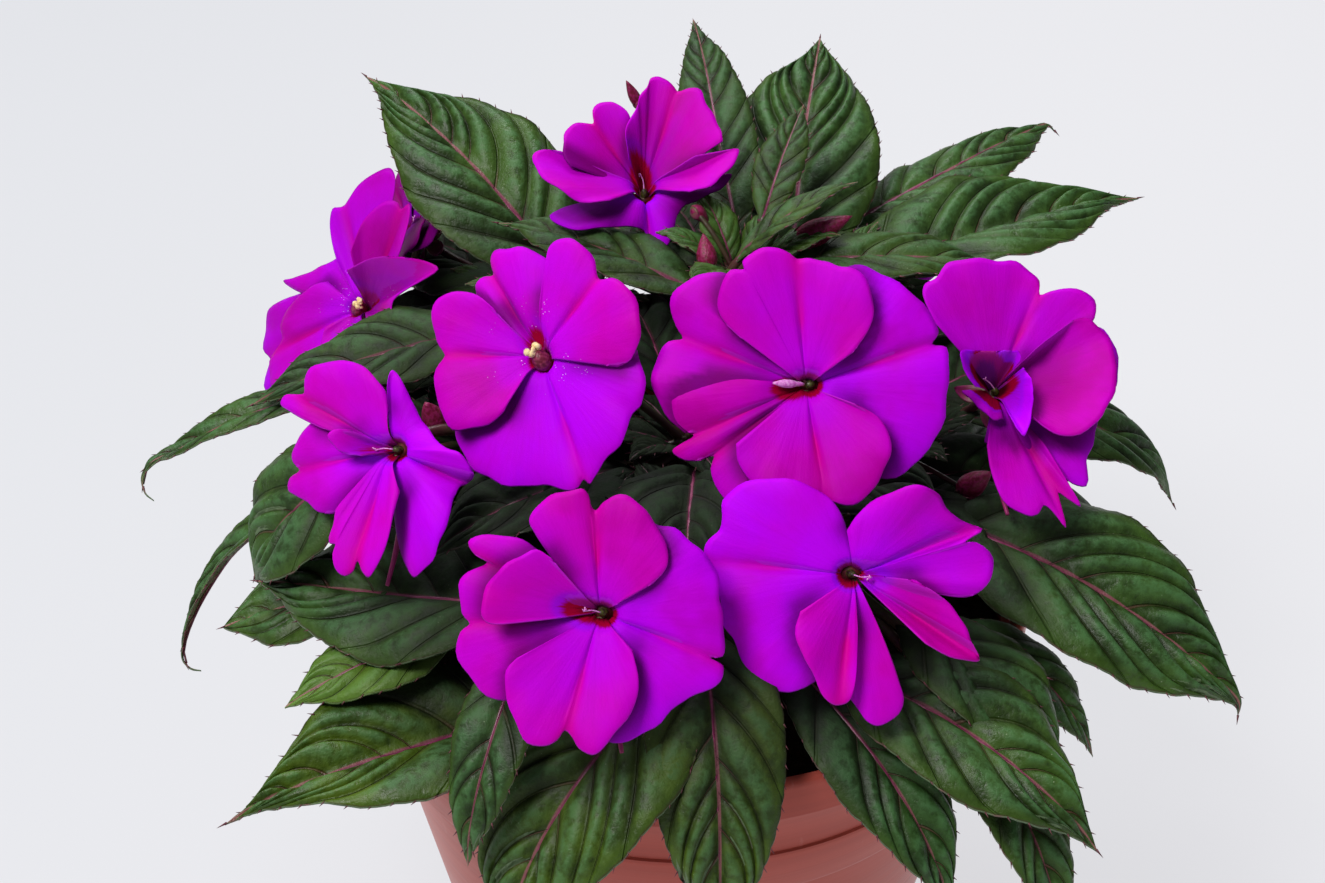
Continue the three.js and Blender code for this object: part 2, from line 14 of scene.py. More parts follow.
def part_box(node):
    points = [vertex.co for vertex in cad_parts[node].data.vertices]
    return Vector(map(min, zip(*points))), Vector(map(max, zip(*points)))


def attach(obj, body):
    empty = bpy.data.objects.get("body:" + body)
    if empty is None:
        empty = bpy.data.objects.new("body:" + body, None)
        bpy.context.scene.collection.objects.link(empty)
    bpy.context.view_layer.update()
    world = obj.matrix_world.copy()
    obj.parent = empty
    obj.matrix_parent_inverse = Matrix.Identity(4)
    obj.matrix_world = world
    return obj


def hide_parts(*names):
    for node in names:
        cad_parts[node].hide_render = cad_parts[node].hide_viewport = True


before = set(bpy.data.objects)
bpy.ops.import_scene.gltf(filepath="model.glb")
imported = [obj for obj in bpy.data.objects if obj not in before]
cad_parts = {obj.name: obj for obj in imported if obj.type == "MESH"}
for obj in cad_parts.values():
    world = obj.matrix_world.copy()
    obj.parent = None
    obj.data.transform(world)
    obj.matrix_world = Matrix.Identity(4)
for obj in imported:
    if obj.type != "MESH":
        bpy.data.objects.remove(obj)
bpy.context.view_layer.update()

MM = 0.001
TAU = 2 * math.pi

# ---------------------------------------------------------------- driving dimensions

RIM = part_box("pot")[1].z
POT_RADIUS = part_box("pot")[1].x
SOIL_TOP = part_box("potting_soil")[1].z

STEM = dict(radius=3.2, top_radius=2.5, knee=8, bow=6, joint=0.97, below_rim=38.7, soil_below_rim=13)
PETIOLE = dict(radius=1.5, end_radius=1.15, bend=0.5, middle=0.6, ease=0.25)
STALK = dict(radius=1.0, straight=14, bow=3, seat=5.5)

BLADE = dict(
    thickness=0.45, foot=1.1, handles=(0.33, 0.7), valley=0.42, shoulder=0.34, swell=0.9,
    tooth_pitch=3.9, rows_per_tooth=5, scallop=0.36, spine=1.6, needle=2.2, columns=22,
    vein_pitch=8.8, pillow=0.053,
)
PETAL = dict(thickness=0.36, layer=1.3, middle_layer=1.5, start=0.05, rows=21, steps=3,
             shadow_reach=2.6, groove_width=0.07)
THROAT = dict(radius=2.1, depth=6.5, hole=0.8, opening=2.9, length_to_width=1.7)
POT = dict(wall=2.2, floor=3.0, foot_radius=54.0, ledge=39.5, band=11, steps=144, sharp_degrees=38)
DRAIN = dict(count=5, radius=5, circle=32, depth=12, segments=32)
CAMERA = dict(eye=(0, -0.365, 0.4165), down=35.2, turn=0.8, lens=2000 / 1325 * 36.0, sensor=36.0)

# ---------------------------------------------------------------- the plant, piece by piece


def leaf(start, tip, width, rise=10, fall=10, roll=0, at=0.92, young=0.0, sun=0.3, tail=(), fold=0.0,
         taper=1.2, wave=1.0, painted_shade=0.0):
    """A leaf: where its blade starts, its tip and its width. rise and fall bow the two halves of its
    midrib upwards, roll turns the blade about its length and at is how far up the stem it grows.
    young and sun make it paler and fresher and dusk darkens it with painted shade, tail draws its tip
    out through more places, fold closes its two halves like a book, in degrees, taper draws in its
    outer half and wave ripples its margin."""
    return dict(start=start, tip=tip, width=width, rise=rise, fall=fall, roll=roll, at=at, young=young,
                sun=sun, tail=tail, fold=fold, taper=taper, wave=wave, painted_shade=painted_shade)


def bud(start, tip, width, at=0.96):
    """A flower bud at the end of a short stalk: its foot, its tip and its width."""
    return dict(start=start, tip=tip, width=width, at=at)


STEMS = {
    "crown": dict(
        root=[4, 8], top=[12, 29, 58],
        leaves=[
            leaf([12, 40, 58], [1, 116, 80], 18, rise=5, fall=7, roll=-6, taper=1.4, painted_shade=0.4),
            leaf([24, 43, 45], [34, 118, 74], 38, rise=4, fall=7, at=0.8, taper=1.3),
            leaf([17, 36, 65], [27.5, 70, 78], 11, rise=2, fall=2, roll=4, sun=0.6, painted_shade=0.4),
            leaf([11, 22, 63], [38, 33, 77], 13, rise=3, fall=3, roll=-16, sun=0.7, painted_shade=0.35),
            leaf([4, 19, 55], [-44, 42, 61], 22, rise=3, fall=4, roll=4, sun=0.5, painted_shade=0.45),
            leaf([22, 25, 60], [70, 28, 58], 21, rise=3, fall=4, roll=0, sun=0.5, painted_shade=0.35),
            leaf([6, 36, 52], [-4, 74, 48], 26, rise=4, fall=4, at=0.7, painted_shade=0.6),
            leaf([0, 36, 44], [-26, 82, 42], 30, rise=4, fall=5, at=0.6, painted_shade=0.6),
            leaf([24, 30, 42], [74, 44, 34], 30, rise=5, fall=7, at=0.6, painted_shade=0.6),
        ],
        flowers=["top"], buds=[
            bud([5, 22, 60], [3.6, 27, 67], 5), bud([23.5, 31, 62], [37, 30, 70], 6.5),
            bud([1, 36, 69], [5, 36, 64.5], 3.5),
        ],
    ),
    "back_left": dict(
        root=[-14, 14], top=[-28, 32, 44],
        leaves=[
            leaf([-26.5, 40, 45], [-80, 91, 75], 41, rise=6, fall=7, roll=-5, sun=0.4, taper=1.45),
            leaf([-44, 13, 42], [-114, -2, 26.5], 11, rise=5, fall=8, roll=-4, fold=10,
                 tail=[[-118.8, -4.3, 25.3], [-120.6, -5.6, 23.4], [-121.1, -7, 21.4],
                       [-120.4, -8.3, 19.6], [-118.6, -9.1, 18.3]]),
            leaf([-42, 11, 52], [-96, 0, 38], 26, rise=2, fall=4, roll=-4, sun=0.5, painted_shade=0.5),
            leaf([-42, 44, 24], [-112, 60, -8], 30, rise=9, fall=15, at=0.75),
            leaf([-34, 42, 36], [-80, 58, 22], 36, rise=4, fall=6, at=0.85, painted_shade=0.7),
            leaf([-36, 32, 32], [-88, 36, 18], 34, rise=4, fall=7, at=0.7, painted_shade=0.6),
            leaf([-38, 18, 33], [-88, 22, 14], 32, rise=3, fall=5, at=0.6, painted_shade=0.7),
            leaf([-34, 50, 36], [-70, 84, 24], 34, rise=4, fall=6, at=0.9, painted_shade=0.75),
        ],
        flowers=["far_left", "far_left_back"], buds=[],
    ),
    "left": dict(
        root=[-26, 0], top=[-46, -8, 34],
        leaves=[
            leaf([-64, -6, 22], [-105.3, -8, -0.5], 10, rise=5, fall=7, at=0.85, fold=25,
                 tail=[[-111.6, -14.4, -9.2], [-114.4, -19, -15.7], [-114.4, -21, -18.5],
                       [-112.8, -22, -20], [-110.5, -22.3, -20.4]]),
            leaf([-58, -20, 44], [-94, -26, 10], 30, rise=6, fall=11, roll=-15, taper=0.8),
            leaf([-52, 10, 12], [-102, 28, -34], 30, rise=9, fall=16, at=0.7),
            leaf([-50, 2, 24], [-90, 12, 6], 26, rise=5, fall=7, at=0.8),
            leaf([-46, -18, 20], [-76, -44, 10], 28, rise=4, fall=6, at=0.7),
            leaf([-52, -20, 10], [-102, -28, -2.5], 31, rise=0, fall=1, at=0.6, sun=0.5, taper=0.8),
        ],
        flowers=["left"], buds=[bud([-53, -10, 38], [-55.5, -13, 48], 6)],
    ),
    "front_left": dict(
        root=[-18, -18], top=[-24, -40, 28],
        leaves=[
            leaf([-30, -54, 27], [-92, -32, 14], 36, rise=-2, fall=-1, roll=-14, at=0.96),
            leaf([-45, -47, 17.5], [-81, -65, 8], 20, rise=2, fall=2, roll=-8, at=0.8, young=0.6, sun=1.0),
            leaf([-34, -60, 0], [-91, -85, -5], 36, rise=5, fall=6, roll=-8, at=0.7, sun=1.0, fold=15,
                 taper=1.7),
            leaf([-30, -64, 27], [-42, -93, -7.5], 15, rise=8, fall=10, at=0.9, sun=0.2),
        ],
        flowers=["front_left"], buds=[],
    ),
    "front": dict(
        root=[2, -24], top=[2, -38, 30],
        leaves=[
            leaf([4, -58, 22], [-36, -94.3, -32], 38, rise=15, fall=19, roll=-8, at=0.8, sun=0.9),
            leaf([3, -52, 32], [7.5, -95.7, -26], 27, rise=16, fall=18, at=0.95, sun=1.0),
            leaf([20, -52, 12], [54, -92, -22], 25, rise=11, fall=13, at=0.7, sun=0.1),
        ],
        flowers=[], buds=[],
    ),
    "front_right": dict(
        root=[20, -18], top=[34, -36, 28],
        leaves=[
            leaf([32, -55, 10], [82, -88, -7], 33, rise=9, fall=11, roll=4, at=0.95, sun=0.4),
            leaf([45, -44, 14], [77, -72, -5], 25, rise=8, fall=10, at=0.8),
            leaf([52, -56, 8], [77, -92, -31], 18, rise=10, fall=12, at=0.65),
            leaf([59, -36, 8], [88, -52, -16], 15, rise=7, fall=7, at=0.6),
        ],
        flowers=["front_right"], buds=[],
    ),
    "right": dict(
        root=[28, 0], top=[46, -2, 30],
        leaves=[
            leaf([54, -20, 24], [117.6, -49, -3], 40, rise=8, fall=10, roll=12, tail=[[117.7, -50.2, -6]]),
            leaf([60, 8, 32], [113, 6, 8], 28, rise=12, fall=16),
            leaf([52, 14, 18], [104, 38, -30], 30, rise=10, fall=14, at=0.75),
            leaf([50, 10, 32], [86, 34, 30], 28, rise=4, fall=6, at=0.9, painted_shade=0.6),
            leaf([40, -14, 24], [64, -40, 20], 26, rise=3, fall=4, at=0.8),
            leaf([50, -12, 20], [84, -20, 12], 26, rise=4, fall=6, at=0.7),
            leaf([46, 2, 16], [92, 16, 8], 30, rise=3, fall=4, at=0.65, painted_shade=0.85),
        ],
        flowers=["right"], buds=[bud([60, -12, 24], [66, -16, 33], 6)],
    ),
    "back_right": dict(
        root=[20, 16], top=[34, 40, 44],
        leaves=[
            leaf([40, 62, 50], [93, 105, 56], 24, rise=2, fall=3, at=0.93, fold=-15, tail=[[95, 105, 54]]),
            leaf([38, 40, 48], [111, 73, 52], 38, rise=3, fall=3, at=0.96, fold=8, taper=1.3),
            leaf([44, 50, 20], [98, 84, -16], 32, rise=8, fall=13, at=0.75),
        ],
        flowers=["back_right"], buds=[],
    ),
    "back": dict(
        root=[2, 28], top=[4, 62, 30],
        leaves=[
            leaf([-4, 74, 26], [-26, 130, -8], 34, rise=11, fall=17),
            leaf([12, 76, 22], [36, 131, -12], 34, rise=10, fall=16, at=0.85),
            leaf([20, 66, 12], [74, 112, -20], 32, rise=11, fall=15, at=0.7),
        ],
        flowers=["back"], buds=[bud([-11.4, 70, 76.8], [-14.7, 70, 84], 3)],
    ),
    "far_back_left": dict(
        root=[-18, 32], top=[-38, 60, 28],
        leaves=[
            leaf([-46, 70, 22], [-75, 122, -7], 34, rise=8, fall=12),
            leaf([-52, 64, 14], [-102, 100, -16], 32, rise=9, fall=15, at=0.85),
            leaf([-44, 70, 4], [-92, 104, -34], 28, rise=10, fall=14, at=0.7),
            leaf([-47, 70, 31], [-86, 105, 21], 25, rise=4, fall=6, at=0.95, painted_shade=0.7),
        ],
        flowers=["back_left"], buds=[],
    ),
    "middle": dict(
        root=[-5, -4], top=[0, -8, 36],
        leaves=[
            leaf([2, -20, 36], [0, -64, 34], 30, rise=6, fall=7),
            leaf([-11, -15, 32], [-52, -46, 32], 28, rise=6, fall=7),
            leaf([12, -16, 34], [56, -40, 36], 30, rise=6, fall=7),
            leaf([11, 1, 38], [52, 17, 44], 30, rise=6, fall=6),
            leaf([-10, 0, 35], [-46, 4, 38], 26, rise=5, fall=6),
            leaf([-3, 4, 38], [-15, 49, 37], 27, rise=5, fall=6),
            leaf([5, -12, 24], [16, -52, 22], 28, rise=5, fall=6, at=0.7),
            leaf([-6, -12, 22], [-24, -48, 20], 28, rise=5, fall=6, at=0.65),
            leaf([6, -2, 28], [30, 24, 34], 26, rise=4, fall=5, at=0.75),
            leaf([-7, -3, 26], [-40, 22, 28], 28, rise=4, fall=5, at=0.7),
        ],
        flowers=["upper_left", "centre_right"], buds=[],
    ),
}


def petal(layer, edge, cup=0.0, violet=0.4, creases=(), dome=1.0, ruffle=1.0, deep=0.0):
    """A petal: its layer from back to front and its edge, as clock angle and distance from the throat
    seen from the front, with how far that place stands forward if it does. cup brings the whole edge
    forward, violet shifts the colour, creases are the angles of its grooves, dome rounds its lobes,
    ruffle waves its margin and deep reddens all but its margin: partly own red, partly painted shade."""
    return dict(layer=layer, edge=edge, cup=cup, violet=violet, creases=creases, dome=dome, ruffle=ruffle,
                deep=deep)


def heart(angle, length, spread, layer, cup=2.0, violet=0.4):
    """A plain heart-shaped petal that points one way, its length and half its spread in degrees."""
    form = [(-1, 0.6), (-0.98, 0.8), (-0.86, 0.94), (-0.62, 1.02), (-0.36, 1.03), (-0.14, 0.97), (0, 0.88),
            (0.13, 0.98), (0.38, 1.04), (0.64, 1.0), (0.85, 0.93), (0.97, 0.82), (1, 0.6)]
    edge = [(angle + spread * across, length * reach) for across, reach in form]
    return petal(layer, edge, cup=cup, violet=violet, creases=[angle], ruffle=1.6)


def flower(at, facing, column, petals, glow=1.0, painted_shade=0.0):
    """A flower: the middle of its throat, the way it faces, what shows in its throat, its petals, how
    bright the red round its throat is and how far painted shade darkens it, standing for the plant's own
    shade."""
    return dict(at=at, facing=facing, column=column, petals=petals, glow=glow, painted_shade=painted_shade)


FLOWERS = {
    "centre_right": flower([24, -32, 65.6], [-0.06, -0.83, 0.55], "tongue", [
        petal(0, [(12, 23), (17, 25.3), (24, 26.5), (35, 27.4), (48, 28), (60, 29), (65, 28.7),
              (69, 26.2), (72, 28.8), (82, 28.6), (95, 28.3), (109, 28), (124, 26.7), (136, 24.6),
              (144, 21.4)], cup=-1, violet=0.8, creases=[69]),
        petal(1, [(-114, 26.2), (-104, 28.9), (-95, 30.3), (-88, 30.7), (-80, 30.4), (-75, 28.9),
              (-72, 26.5), (-68, 28.9), (-62, 31.5), (-56, 32.4), (-49, 31.6), (-44, 29.7), (-38, 27.3),
              (-33, 22.2)], violet=0.45, creases=[-72]),
        petal(2, [(179, 24), (186, 26.6), (193, 28.4), (201, 28.9), (210, 28.6), (219, 27), (226, 25.4),
              (230, 23), (232, 25.6), (236, 28.5), (241, 30.3), (242, 28), (243, 24.9), (246, 25.6),
              (253, 26.9), (260, 27), (266, 25.5), (271, 22.8), (273, 19.1)], cup=-1, violet=0.25,
              creases=[230, 243]),
        petal(3, [(108, 10.8), (111, 15.4), (117, 18.7), (124, 20.8), (134, 22.7), (143, 24), (151, 25),
              (158, 24.8), (164, 23.7), (167, 22.6), (169, 21.3), (173, 22.8), (180, 23.5), (187, 23.4),
              (199, 21.9), (210, 21.5), (220, 19.9), (227, 18.1)], cup=2.5, violet=0.35, creases=[168]),
        petal(3, [(-56, 17.3), (-54, 21.3), (-50, 24), (-44, 25.9), (-36, 26.9), (-31, 26.1),
              (-30, 27.7), (-26, 28.4), (-20, 28.5), (-14, 27.7), (-10, 26.2), (-7, 24.8), (-1, 25.2),
              (6, 25), (12, 24.2), (18, 24.8), (24, 24.3), (32, 22.5), (39, 19.9), (45, 16.3),
              (51, 11.6)], cup=1.5, violet=0.3, creases=[-7]),
    ]),
    "upper_left": flower([-30, -24, 67], [-0.39, -0.72, 0.57], "pollen", [
        petal(0, [(71, 20.8), (80, 22.9), (87, 23.9), (97, 24.3), (103, 23.4), (110, 24.8), (118, 25.3),
              (129, 25.7), (136, 27.2), (140, 28.3), (142, 26.9), (145, 27.8), (153, 27.1), (161, 26.1),
              (173, 26.7), (185, 27.2), (196, 27.4), (203, 26.6), (210, 25.5), (217, 24.9), (221, 23.7)],
              violet=0.8, creases=[142]),
        petal(1, [(-152, 22.4), (-140, 23.7), (-127, 22.5), (-113, 20.9), (-108, 16.1)], violet=0.4),
        petal(1, [(-80, 22.2), (-67, 20.7), (-63, 22.1), (-57, 22.1), (-52, 21.2), (-49, 23.8),
              (-44, 24.9), (-36, 24), (-28, 22.8), (-20, 21.1), (-12, 19.2)], cup=-1, violet=0.35,
              creases=[-52]),
        petal(2, [(-13, 12.2), (-12, 15.2), (-11, 18.7), (-10, 21.8), (-6, 23.8), (1, 24.6), (9, 24.1),
              (17, 22.6), (24, 20.7), (27, 20.8), (32, 22.7), (40, 24.3), (51, 25), (59, 24.5),
              (67, 23.3), (76, 21.3), (81, 18.2)], cup=1, violet=0.3, creases=[25]),
        petal(3, [(-169, 12.8), (-163, 16.6), (-155, 19.9), (-148, 22.5), (-138, 22.6), (-126, 22.4),
              (-114, 21.2), (-106, 19.9), (-98, 22.1), (-88, 23.8), (-79, 24.8), (-73, 23.1),
              (-67, 20.5), (-62, 17.5), (-59, 12.9)], cup=2, violet=0.35, creases=[-106]),
    ], glow=0.8),
    "front_left": flower([-16, -75, 42], [-0.04, -0.83, 0.55], "pistil", [
        petal(0, [(23, 20), (32, 20.1), (39, 21.3), (50, 22.2), (62, 23.2), (72, 23.4), (82, 23.1),
              (91, 23.3), (100, 24.1), (107, 24.8), (110, 22.8), (111, 25.7), (115, 26.1), (122, 25.1),
              (131, 23.3), (141, 22.9), (152, 23.8), (162, 24.7), (172, 24.9), (178, 23.4)], violet=0.8,
              creases=[110]),
        petal(1, [(-140, 21.8), (-134, 24.7), (-128, 26.6), (-117, 28), (-107, 28.2), (-100, 26.9),
              (-97, 24.9), (-92, 26.4), (-81, 27.1), (-75, 26.1), (-68, 23.6), (-67, 26.5), (-64, 28.4),
              (-59, 27), (-54, 23.5), (-49, 20), (-47, 16.1)], violet=0.45, creases=[-97, -68]),
        petal(3, [(132, 9.1), (143, 13.4), (151, 16.5), (159, 19), (168, 21.7), (175, 24.2), (180, 25.5),
              (186, 24.9), (190, 23.1), (194, 22.3), (196, 24.5), (200, 26.4), (207, 26.8), (214, 25.5),
              (222, 24), (230, 22.1), (237, 19.8), (240, 17)], cup=2.5, violet=0.35, creases=[193]),
        petal(2, [(-42, 14.5), (-41, 18.3), (-40, 20.7), (-39, 22.1), (-33, 23.4), (-26, 24),
              (-19, 23.9), (-10, 24.2), (-7, 22.6), (-6, 20.3), (-4, 19.5), (0, 21.1), (6, 22.6),
              (13, 23), (20, 22.2), (28, 20.3), (38, 18.9), (48, 17.3), (53, 15.3), (57, 11.8)], cup=0.5,
              violet=0.3, creases=[-4]),
        petal(3, [(-96, 17.7), (-95, 20.5), (-91, 21.5), (-84, 21.6), (-73, 21.1), (-64, 20),
              (-54, 18.2), (-44, 16.9), (-40, 14.1)], cup=4, violet=0.2),
    ]),
    "front_right": flower([33, -63, 42], [-0.02, -0.84, 0.54], "pistil", [
        petal(0, [(-163, 21.2), (-156, 24.8), (-152, 26.6), (-146, 27.4), (-138, 27.9), (-129, 27.4),
              (-122, 27), (-118, 26.7), (-111, 26.9), (-101, 26.5), (-93, 27.1), (-88, 27.8),
              (-84, 29.1), (-78, 29), (-73, 27.9), (-67, 28.2), (-62, 29.4), (-54, 28.3), (-44, 25.7),
              (-34, 22), (-27, 18.8), (-19, 15.5), (-13, 11.9), (-9, 7.3)], violet=0.8, creases=[-86]),
        petal(1, [(-11, 9), (-1, 11.3), (10, 14.5), (21, 17.8, 1), (30, 20.7, 2), (37, 22.2, 2),
              (44, 22.6, 1), (52, 22.2), (61, 22.9, -1), (69, 26.8, -3), (70, 23.8), (71, 22.5, 1),
              (73, 24.5), (81, 27, -1), (86, 26.7, -1), (92, 25.1), (97, 23.4), (99, 21.6), (100, 18.7)],
              cup=1, violet=0.5, creases=[67]),
        petal(2, [(89, 11, 1), (97, 14.5, 1), (103, 17.9), (109, 21), (113, 23.5), (117, 24.9),
              (122, 28.2, -1), (125, 25.5, 1), (128, 22.6, 2), (131, 17.3, 3)], cup=5, violet=0.2,
              creases=[122]),
        petal(2, [(153, 8.9), (154, 14.4), (155, 19.2), (156, 22.8), (157, 25.8), (161, 28), (166, 29),
              (170, 28.9), (174, 27.6), (177, 25.7), (181, 23.7), (187, 20.4)], violet=0.3),
        petal(3, [(177, 9.8), (178, 14.6), (179, 19.4), (181, 22.8), (184, 24.2), (188, 24.7),
              (194, 23.1), (201, 20.5), (212, 18), (221, 16.6), (230, 14.8), (238, 12.5)], cup=4,
              violet=0.15, creases=[186]),
    ], glow=0.5),
    "left": flower([-60, -36, 52], [-0.38, -0.72, 0.58], "pistil", [
        petal(0, [(-18, 7.8, 4), (-16, 11.8, 5), (-15, 14.6, 5), (-14, 16, 4), (-9, 15.1, 3),
              (-1, 12.7, 2), (10, 10.3, 1), (29, 8.5), (54, 9.3), (72, 12.2, 1), (76, 15.7, 2),
              (83, 18, 1), (89, 18.6), (98, 15.6, -3), (101, 15.9), (108, 16.7, 1), (114, 19, 2),
              (121, 20.3, 2), (129, 22, 2), (139, 24.4, 1), (147, 25.6), (152, 25.8), (155, 24.2),
              (159, 21.2), (162, 17.9)], cup=-1, violet=0.8, creases=[98]),
        petal(1, [(-153, 18.1), (-144, 20.5), (-136, 22), (-129, 24), (-125, 25.4), (-120, 25),
              (-117, 22.5), (-112, 23.5), (-108, 23.7), (-101, 22.6), (-95, 21.3), (-89, 20.2)],
              violet=0.6, creases=[-117]),
        petal(2, [(-90, 16.6), (-89, 20.1), (-88, 23.3), (-87, 25.6), (-86, 27.6), (-82, 27.2),
              (-79, 24.6), (-76, 22.7), (-70, 23.8), (-63, 24), (-55, 22.9), (-48, 21.1), (-40, 19.2),
              (-33, 17), (-26, 14.4), (-19, 11.7), (-15, 7.8)], cup=1, violet=0.35, creases=[-79]),
        petal(3, [(135, 9.6), (145, 13.1), (152, 17.6), (157, 20.6), (163, 23.7), (167, 25.5),
              (172, 24.8), (176, 23.5), (177, 25.7), (180, 26.7), (185, 25.7), (189, 23.7), (190, 21.6),
              (194, 22.1), (196, 21.3), (198, 18.6), (203, 16.2)], cup=2, violet=0.35, creases=[176]),
        petal(3, [(-125, 4.3), (-112, 7.9), (-102, 9.4), (-93, 10.4), (-85, 10), (-74, 6.6)], cup=4,
              violet=0.3),
    ], glow=0.55),
    "top": flower([-10, 44, 70], [0.02, -0.45, 0.89], "pistil", [
        petal(0, [(82, 17.7, 2), (83, 20.5, 2), (85, 20, 1), (91, 18), (99, 15.3), (109, 12.6),
              (122, 10.2, -1), (135, 10.2, -3), (146, 11.9, -4), (156, 13.3, -5), (165, 13.6, -6),
              (172, 12.8, -7), (176, 10.8, -5), (181, 9.6, -3), (196, 10.6, -1), (212, 12.5),
              (222, 15.1), (231, 19.1), (238, 21), (246, 22.3), (251, 22.7), (254, 20)], cup=1,
              violet=0.8, creases=[174]),
        petal(1, [(-87, 16.7), (-78, 18.8), (-68, 19.6), (-58, 20.3), (-50, 19.9), (-45, 18.5),
              (-41, 17.5), (-36, 19.5), (-28, 20.6), (-22, 19.8), (-18, 18.4), (-13, 16.2), (-11, 13.1)],
              cup=8, violet=0.35, creases=[-41]),
        petal(2, [(-60, 3.9), (-32, 7.5), (-22, 10.5), (-11, 13.4), (-4, 16), (-2, 18.2), (3, 20.5),
              (5, 23.4), (9, 24.6), (13, 24.2), (19, 22.8), (22, 22.2), (27, 23.6), (34, 24), (41, 22.3),
              (52, 20.7), (62, 19.9), (71, 19.3)], cup=8, violet=0.3, creases=[21]),
        petal(3, [(-139, 11.9), (-124, 17.4), (-113, 19.7), (-103, 22.2), (-92, 24.4), (-85, 25.4),
              (-81, 24.9), (-78, 22.9), (-77, 19.4)], cup=6, violet=0.35),
        petal(3, [(76, 12.3), (77, 17.5), (78, 21.9), (84, 21.4), (92, 19.9), (103, 17.5), (115, 15.2),
              (126, 12.5)], cup=6, violet=0.3),
    ]),
    "right": flower([66, -10, 51], [0.1, -0.62, 0.78], "pistil", [
        petal(0, [(58, 24), (62, 26), (67, 28), (77, 28.8), (88, 27.4), (93, 26.6), (99, 24.4),
                  (105, 23.2), (115, 22.9), (127, 23.7), (137, 24.7), (145, 27.7), (149, 25.8), (151, 21.7),
                  (158, 17.2), (175, 14.6), (190, 13.7), (200, 12)], cup=1, violet=0.75, creases=[105]),
        petal(1, [(-40, 19), (-34, 24.6), (-30, 26), (-25, 26.2), (-17, 27.8), (-10, 27.6), (-1, 27.2),
                  (7, 27.1), (16, 27.3), (23, 26.2), (29, 24.8), (32, 22), (36, 23.8), (41, 25.8),
                  (48, 27.4), (55, 28.5), (61, 25.7), (66, 20)], cup=5, violet=0.45, creases=[32]),
        petal(2, [(54, 9), (55, 12.5), (56, 16), (57, 19.7), (61, 22.4), (69, 23.5), (77, 24), (86, 23.8),
                  (100, 23.1), (112, 22.1), (124, 21), (136, 19.3), (146, 16.7), (152, 13), (156, 9.4)],
              cup=8, violet=0.3),
        petal(1, [(151, 17), (153, 22.3), (154, 26.4), (155, 30.8), (158, 28), (160, 26.2), (161.5, 28.5),
                  (164, 33.6), (166.5, 29), (169, 27.2), (172, 28.4), (176, 29), (182, 27.5), (187, 25.2),
                  (191, 22), (195, 18.2), (199, 13.7)], cup=3, violet=0.35, creases=[160.5]),
        petal(3, [(-104, 7), (-88, 8.4), (-74, 9.6), (-66, 10.4), (-60, 10.6), (-53, 9.6), (-43, 7.8),
                  (-31, 6.2), (-14, 5.2), (7, 4.9), (22, 5.4), (33, 5.9), (43, 5.5), (50, 4.4)],
              cup=7, violet=0.9, deep=0.66),
        petal(2, [(184, 8), (200, 8.6), (216, 8), (232, 7.6), (248, 8), (262, 8.6)], cup=3, deep=0.7),
        petal(4, [(72, 4), (88, 4.3), (106, 4.7), (124, 5.6), (145, 7.6), (158, 10), (167, 12.2),
                  (174, 13.6), (180, 11.4)], cup=6, violet=1.0, deep=0.3),
    ], glow=1.5),
    "far_left": flower([-77, 37, 41], [-0.55, -0.5, 0.67], "pollen", [
        petal(0, [(-165, 17), (-158, 24), (-153, 31), (-150, 34.6), (-141, 34), (-135, 33), (-130, 34.6),
                  (-123, 34), (-118, 33.6), (-114, 33), (-109, 29), (-104, 24), (-98, 21), (-94, 16)],
              cup=-1, violet=0.8, creases=[-134]),
        petal(1, [(-106, 15), (-103, 24), (-100.5, 28.8), (-98, 26), (-92, 22.7), (-86, 20.3), (-77, 17.8),
                  (-60, 16.4), (-52, 12)], violet=0.5),
        petal(1, [(-62, 12), (-60, 19.5), (-57, 24.6), (-53, 26.6), (-47, 26), (-41, 27.7), (-36, 30),
                  (-30, 32), (-24, 33), (-19, 33.3), (-15, 32), (-12, 28), (-9, 20)],
              cup=4, violet=0.6, creases=[-45]),
        petal(2, [(-172, 14), (-166, 19), (-162, 24), (-159, 29), (-151, 29), (-141, 27.7), (-135, 24),
                  (-127, 23.7), (-119, 23), (-112, 20), (-101, 16.4), (-86, 13)],
              cup=1, violet=0.45, creases=[-140]),
        petal(2, [(-24, 11.5), (-21, 15.4), (-18, 19), (-13, 21.6), (-6, 24), (3, 26.2), (7, 25.6),
                  (10, 27.6), (16, 26.5), (25, 23.6), (32, 21), (40, 17)],
              cup=7, violet=0.35, creases=[7]),
        petal(3, [(14, 7), (24, 12), (32, 15.5), (40, 20), (47, 25), (52, 29.6), (56, 33), (60, 29),
                  (65, 24.3), (71, 21.7), (80, 22), (92, 15)], cup=9, violet=0.2, dome=0.3, deep=0.2),
        petal(3, [(98, 9), (107, 13), (133, 13), (155, 14), (170, 12), (182, 8)],
              cup=5, violet=0.2, deep=0.25),
    ], painted_shade=0.32),
    "far_left_back": flower([-70, 74, 42], [-0.7, -0.1, 0.7], "pistil", [
        heart(180, 26, 58, 0, violet=0.7),
        heart(322, 25, 44, 1),
        heart(38, 25, 44, 2, violet=0.3),
        heart(268, 23, 40, 3),
        heart(94, 23, 40, 3, violet=0.2),
    ], painted_shade=1.0),
    "back_right": flower([50, 104, 26], [0.4, 0.76, 0.5], "pollen", [
        heart(178, 24, 60, 0, violet=0.8),
        heart(322, 22, 46, 1, violet=0.3),
        heart(38, 22, 46, 2, violet=0.4),
        heart(264, 22, 42, 3, violet=0.3),
        heart(96, 22, 42, 3, violet=0.2),
    ]),
    "back": flower([11, 101, 44], [0.02, 0.78, 0.62], "tongue", [
        heart(200, 25, 60, 0, violet=0.8),
        heart(340, 24, 46, 1, violet=0.3),
        heart(56, 25, 44, 2, violet=0.5),
        heart(286, 22, 42, 3, violet=0.3),
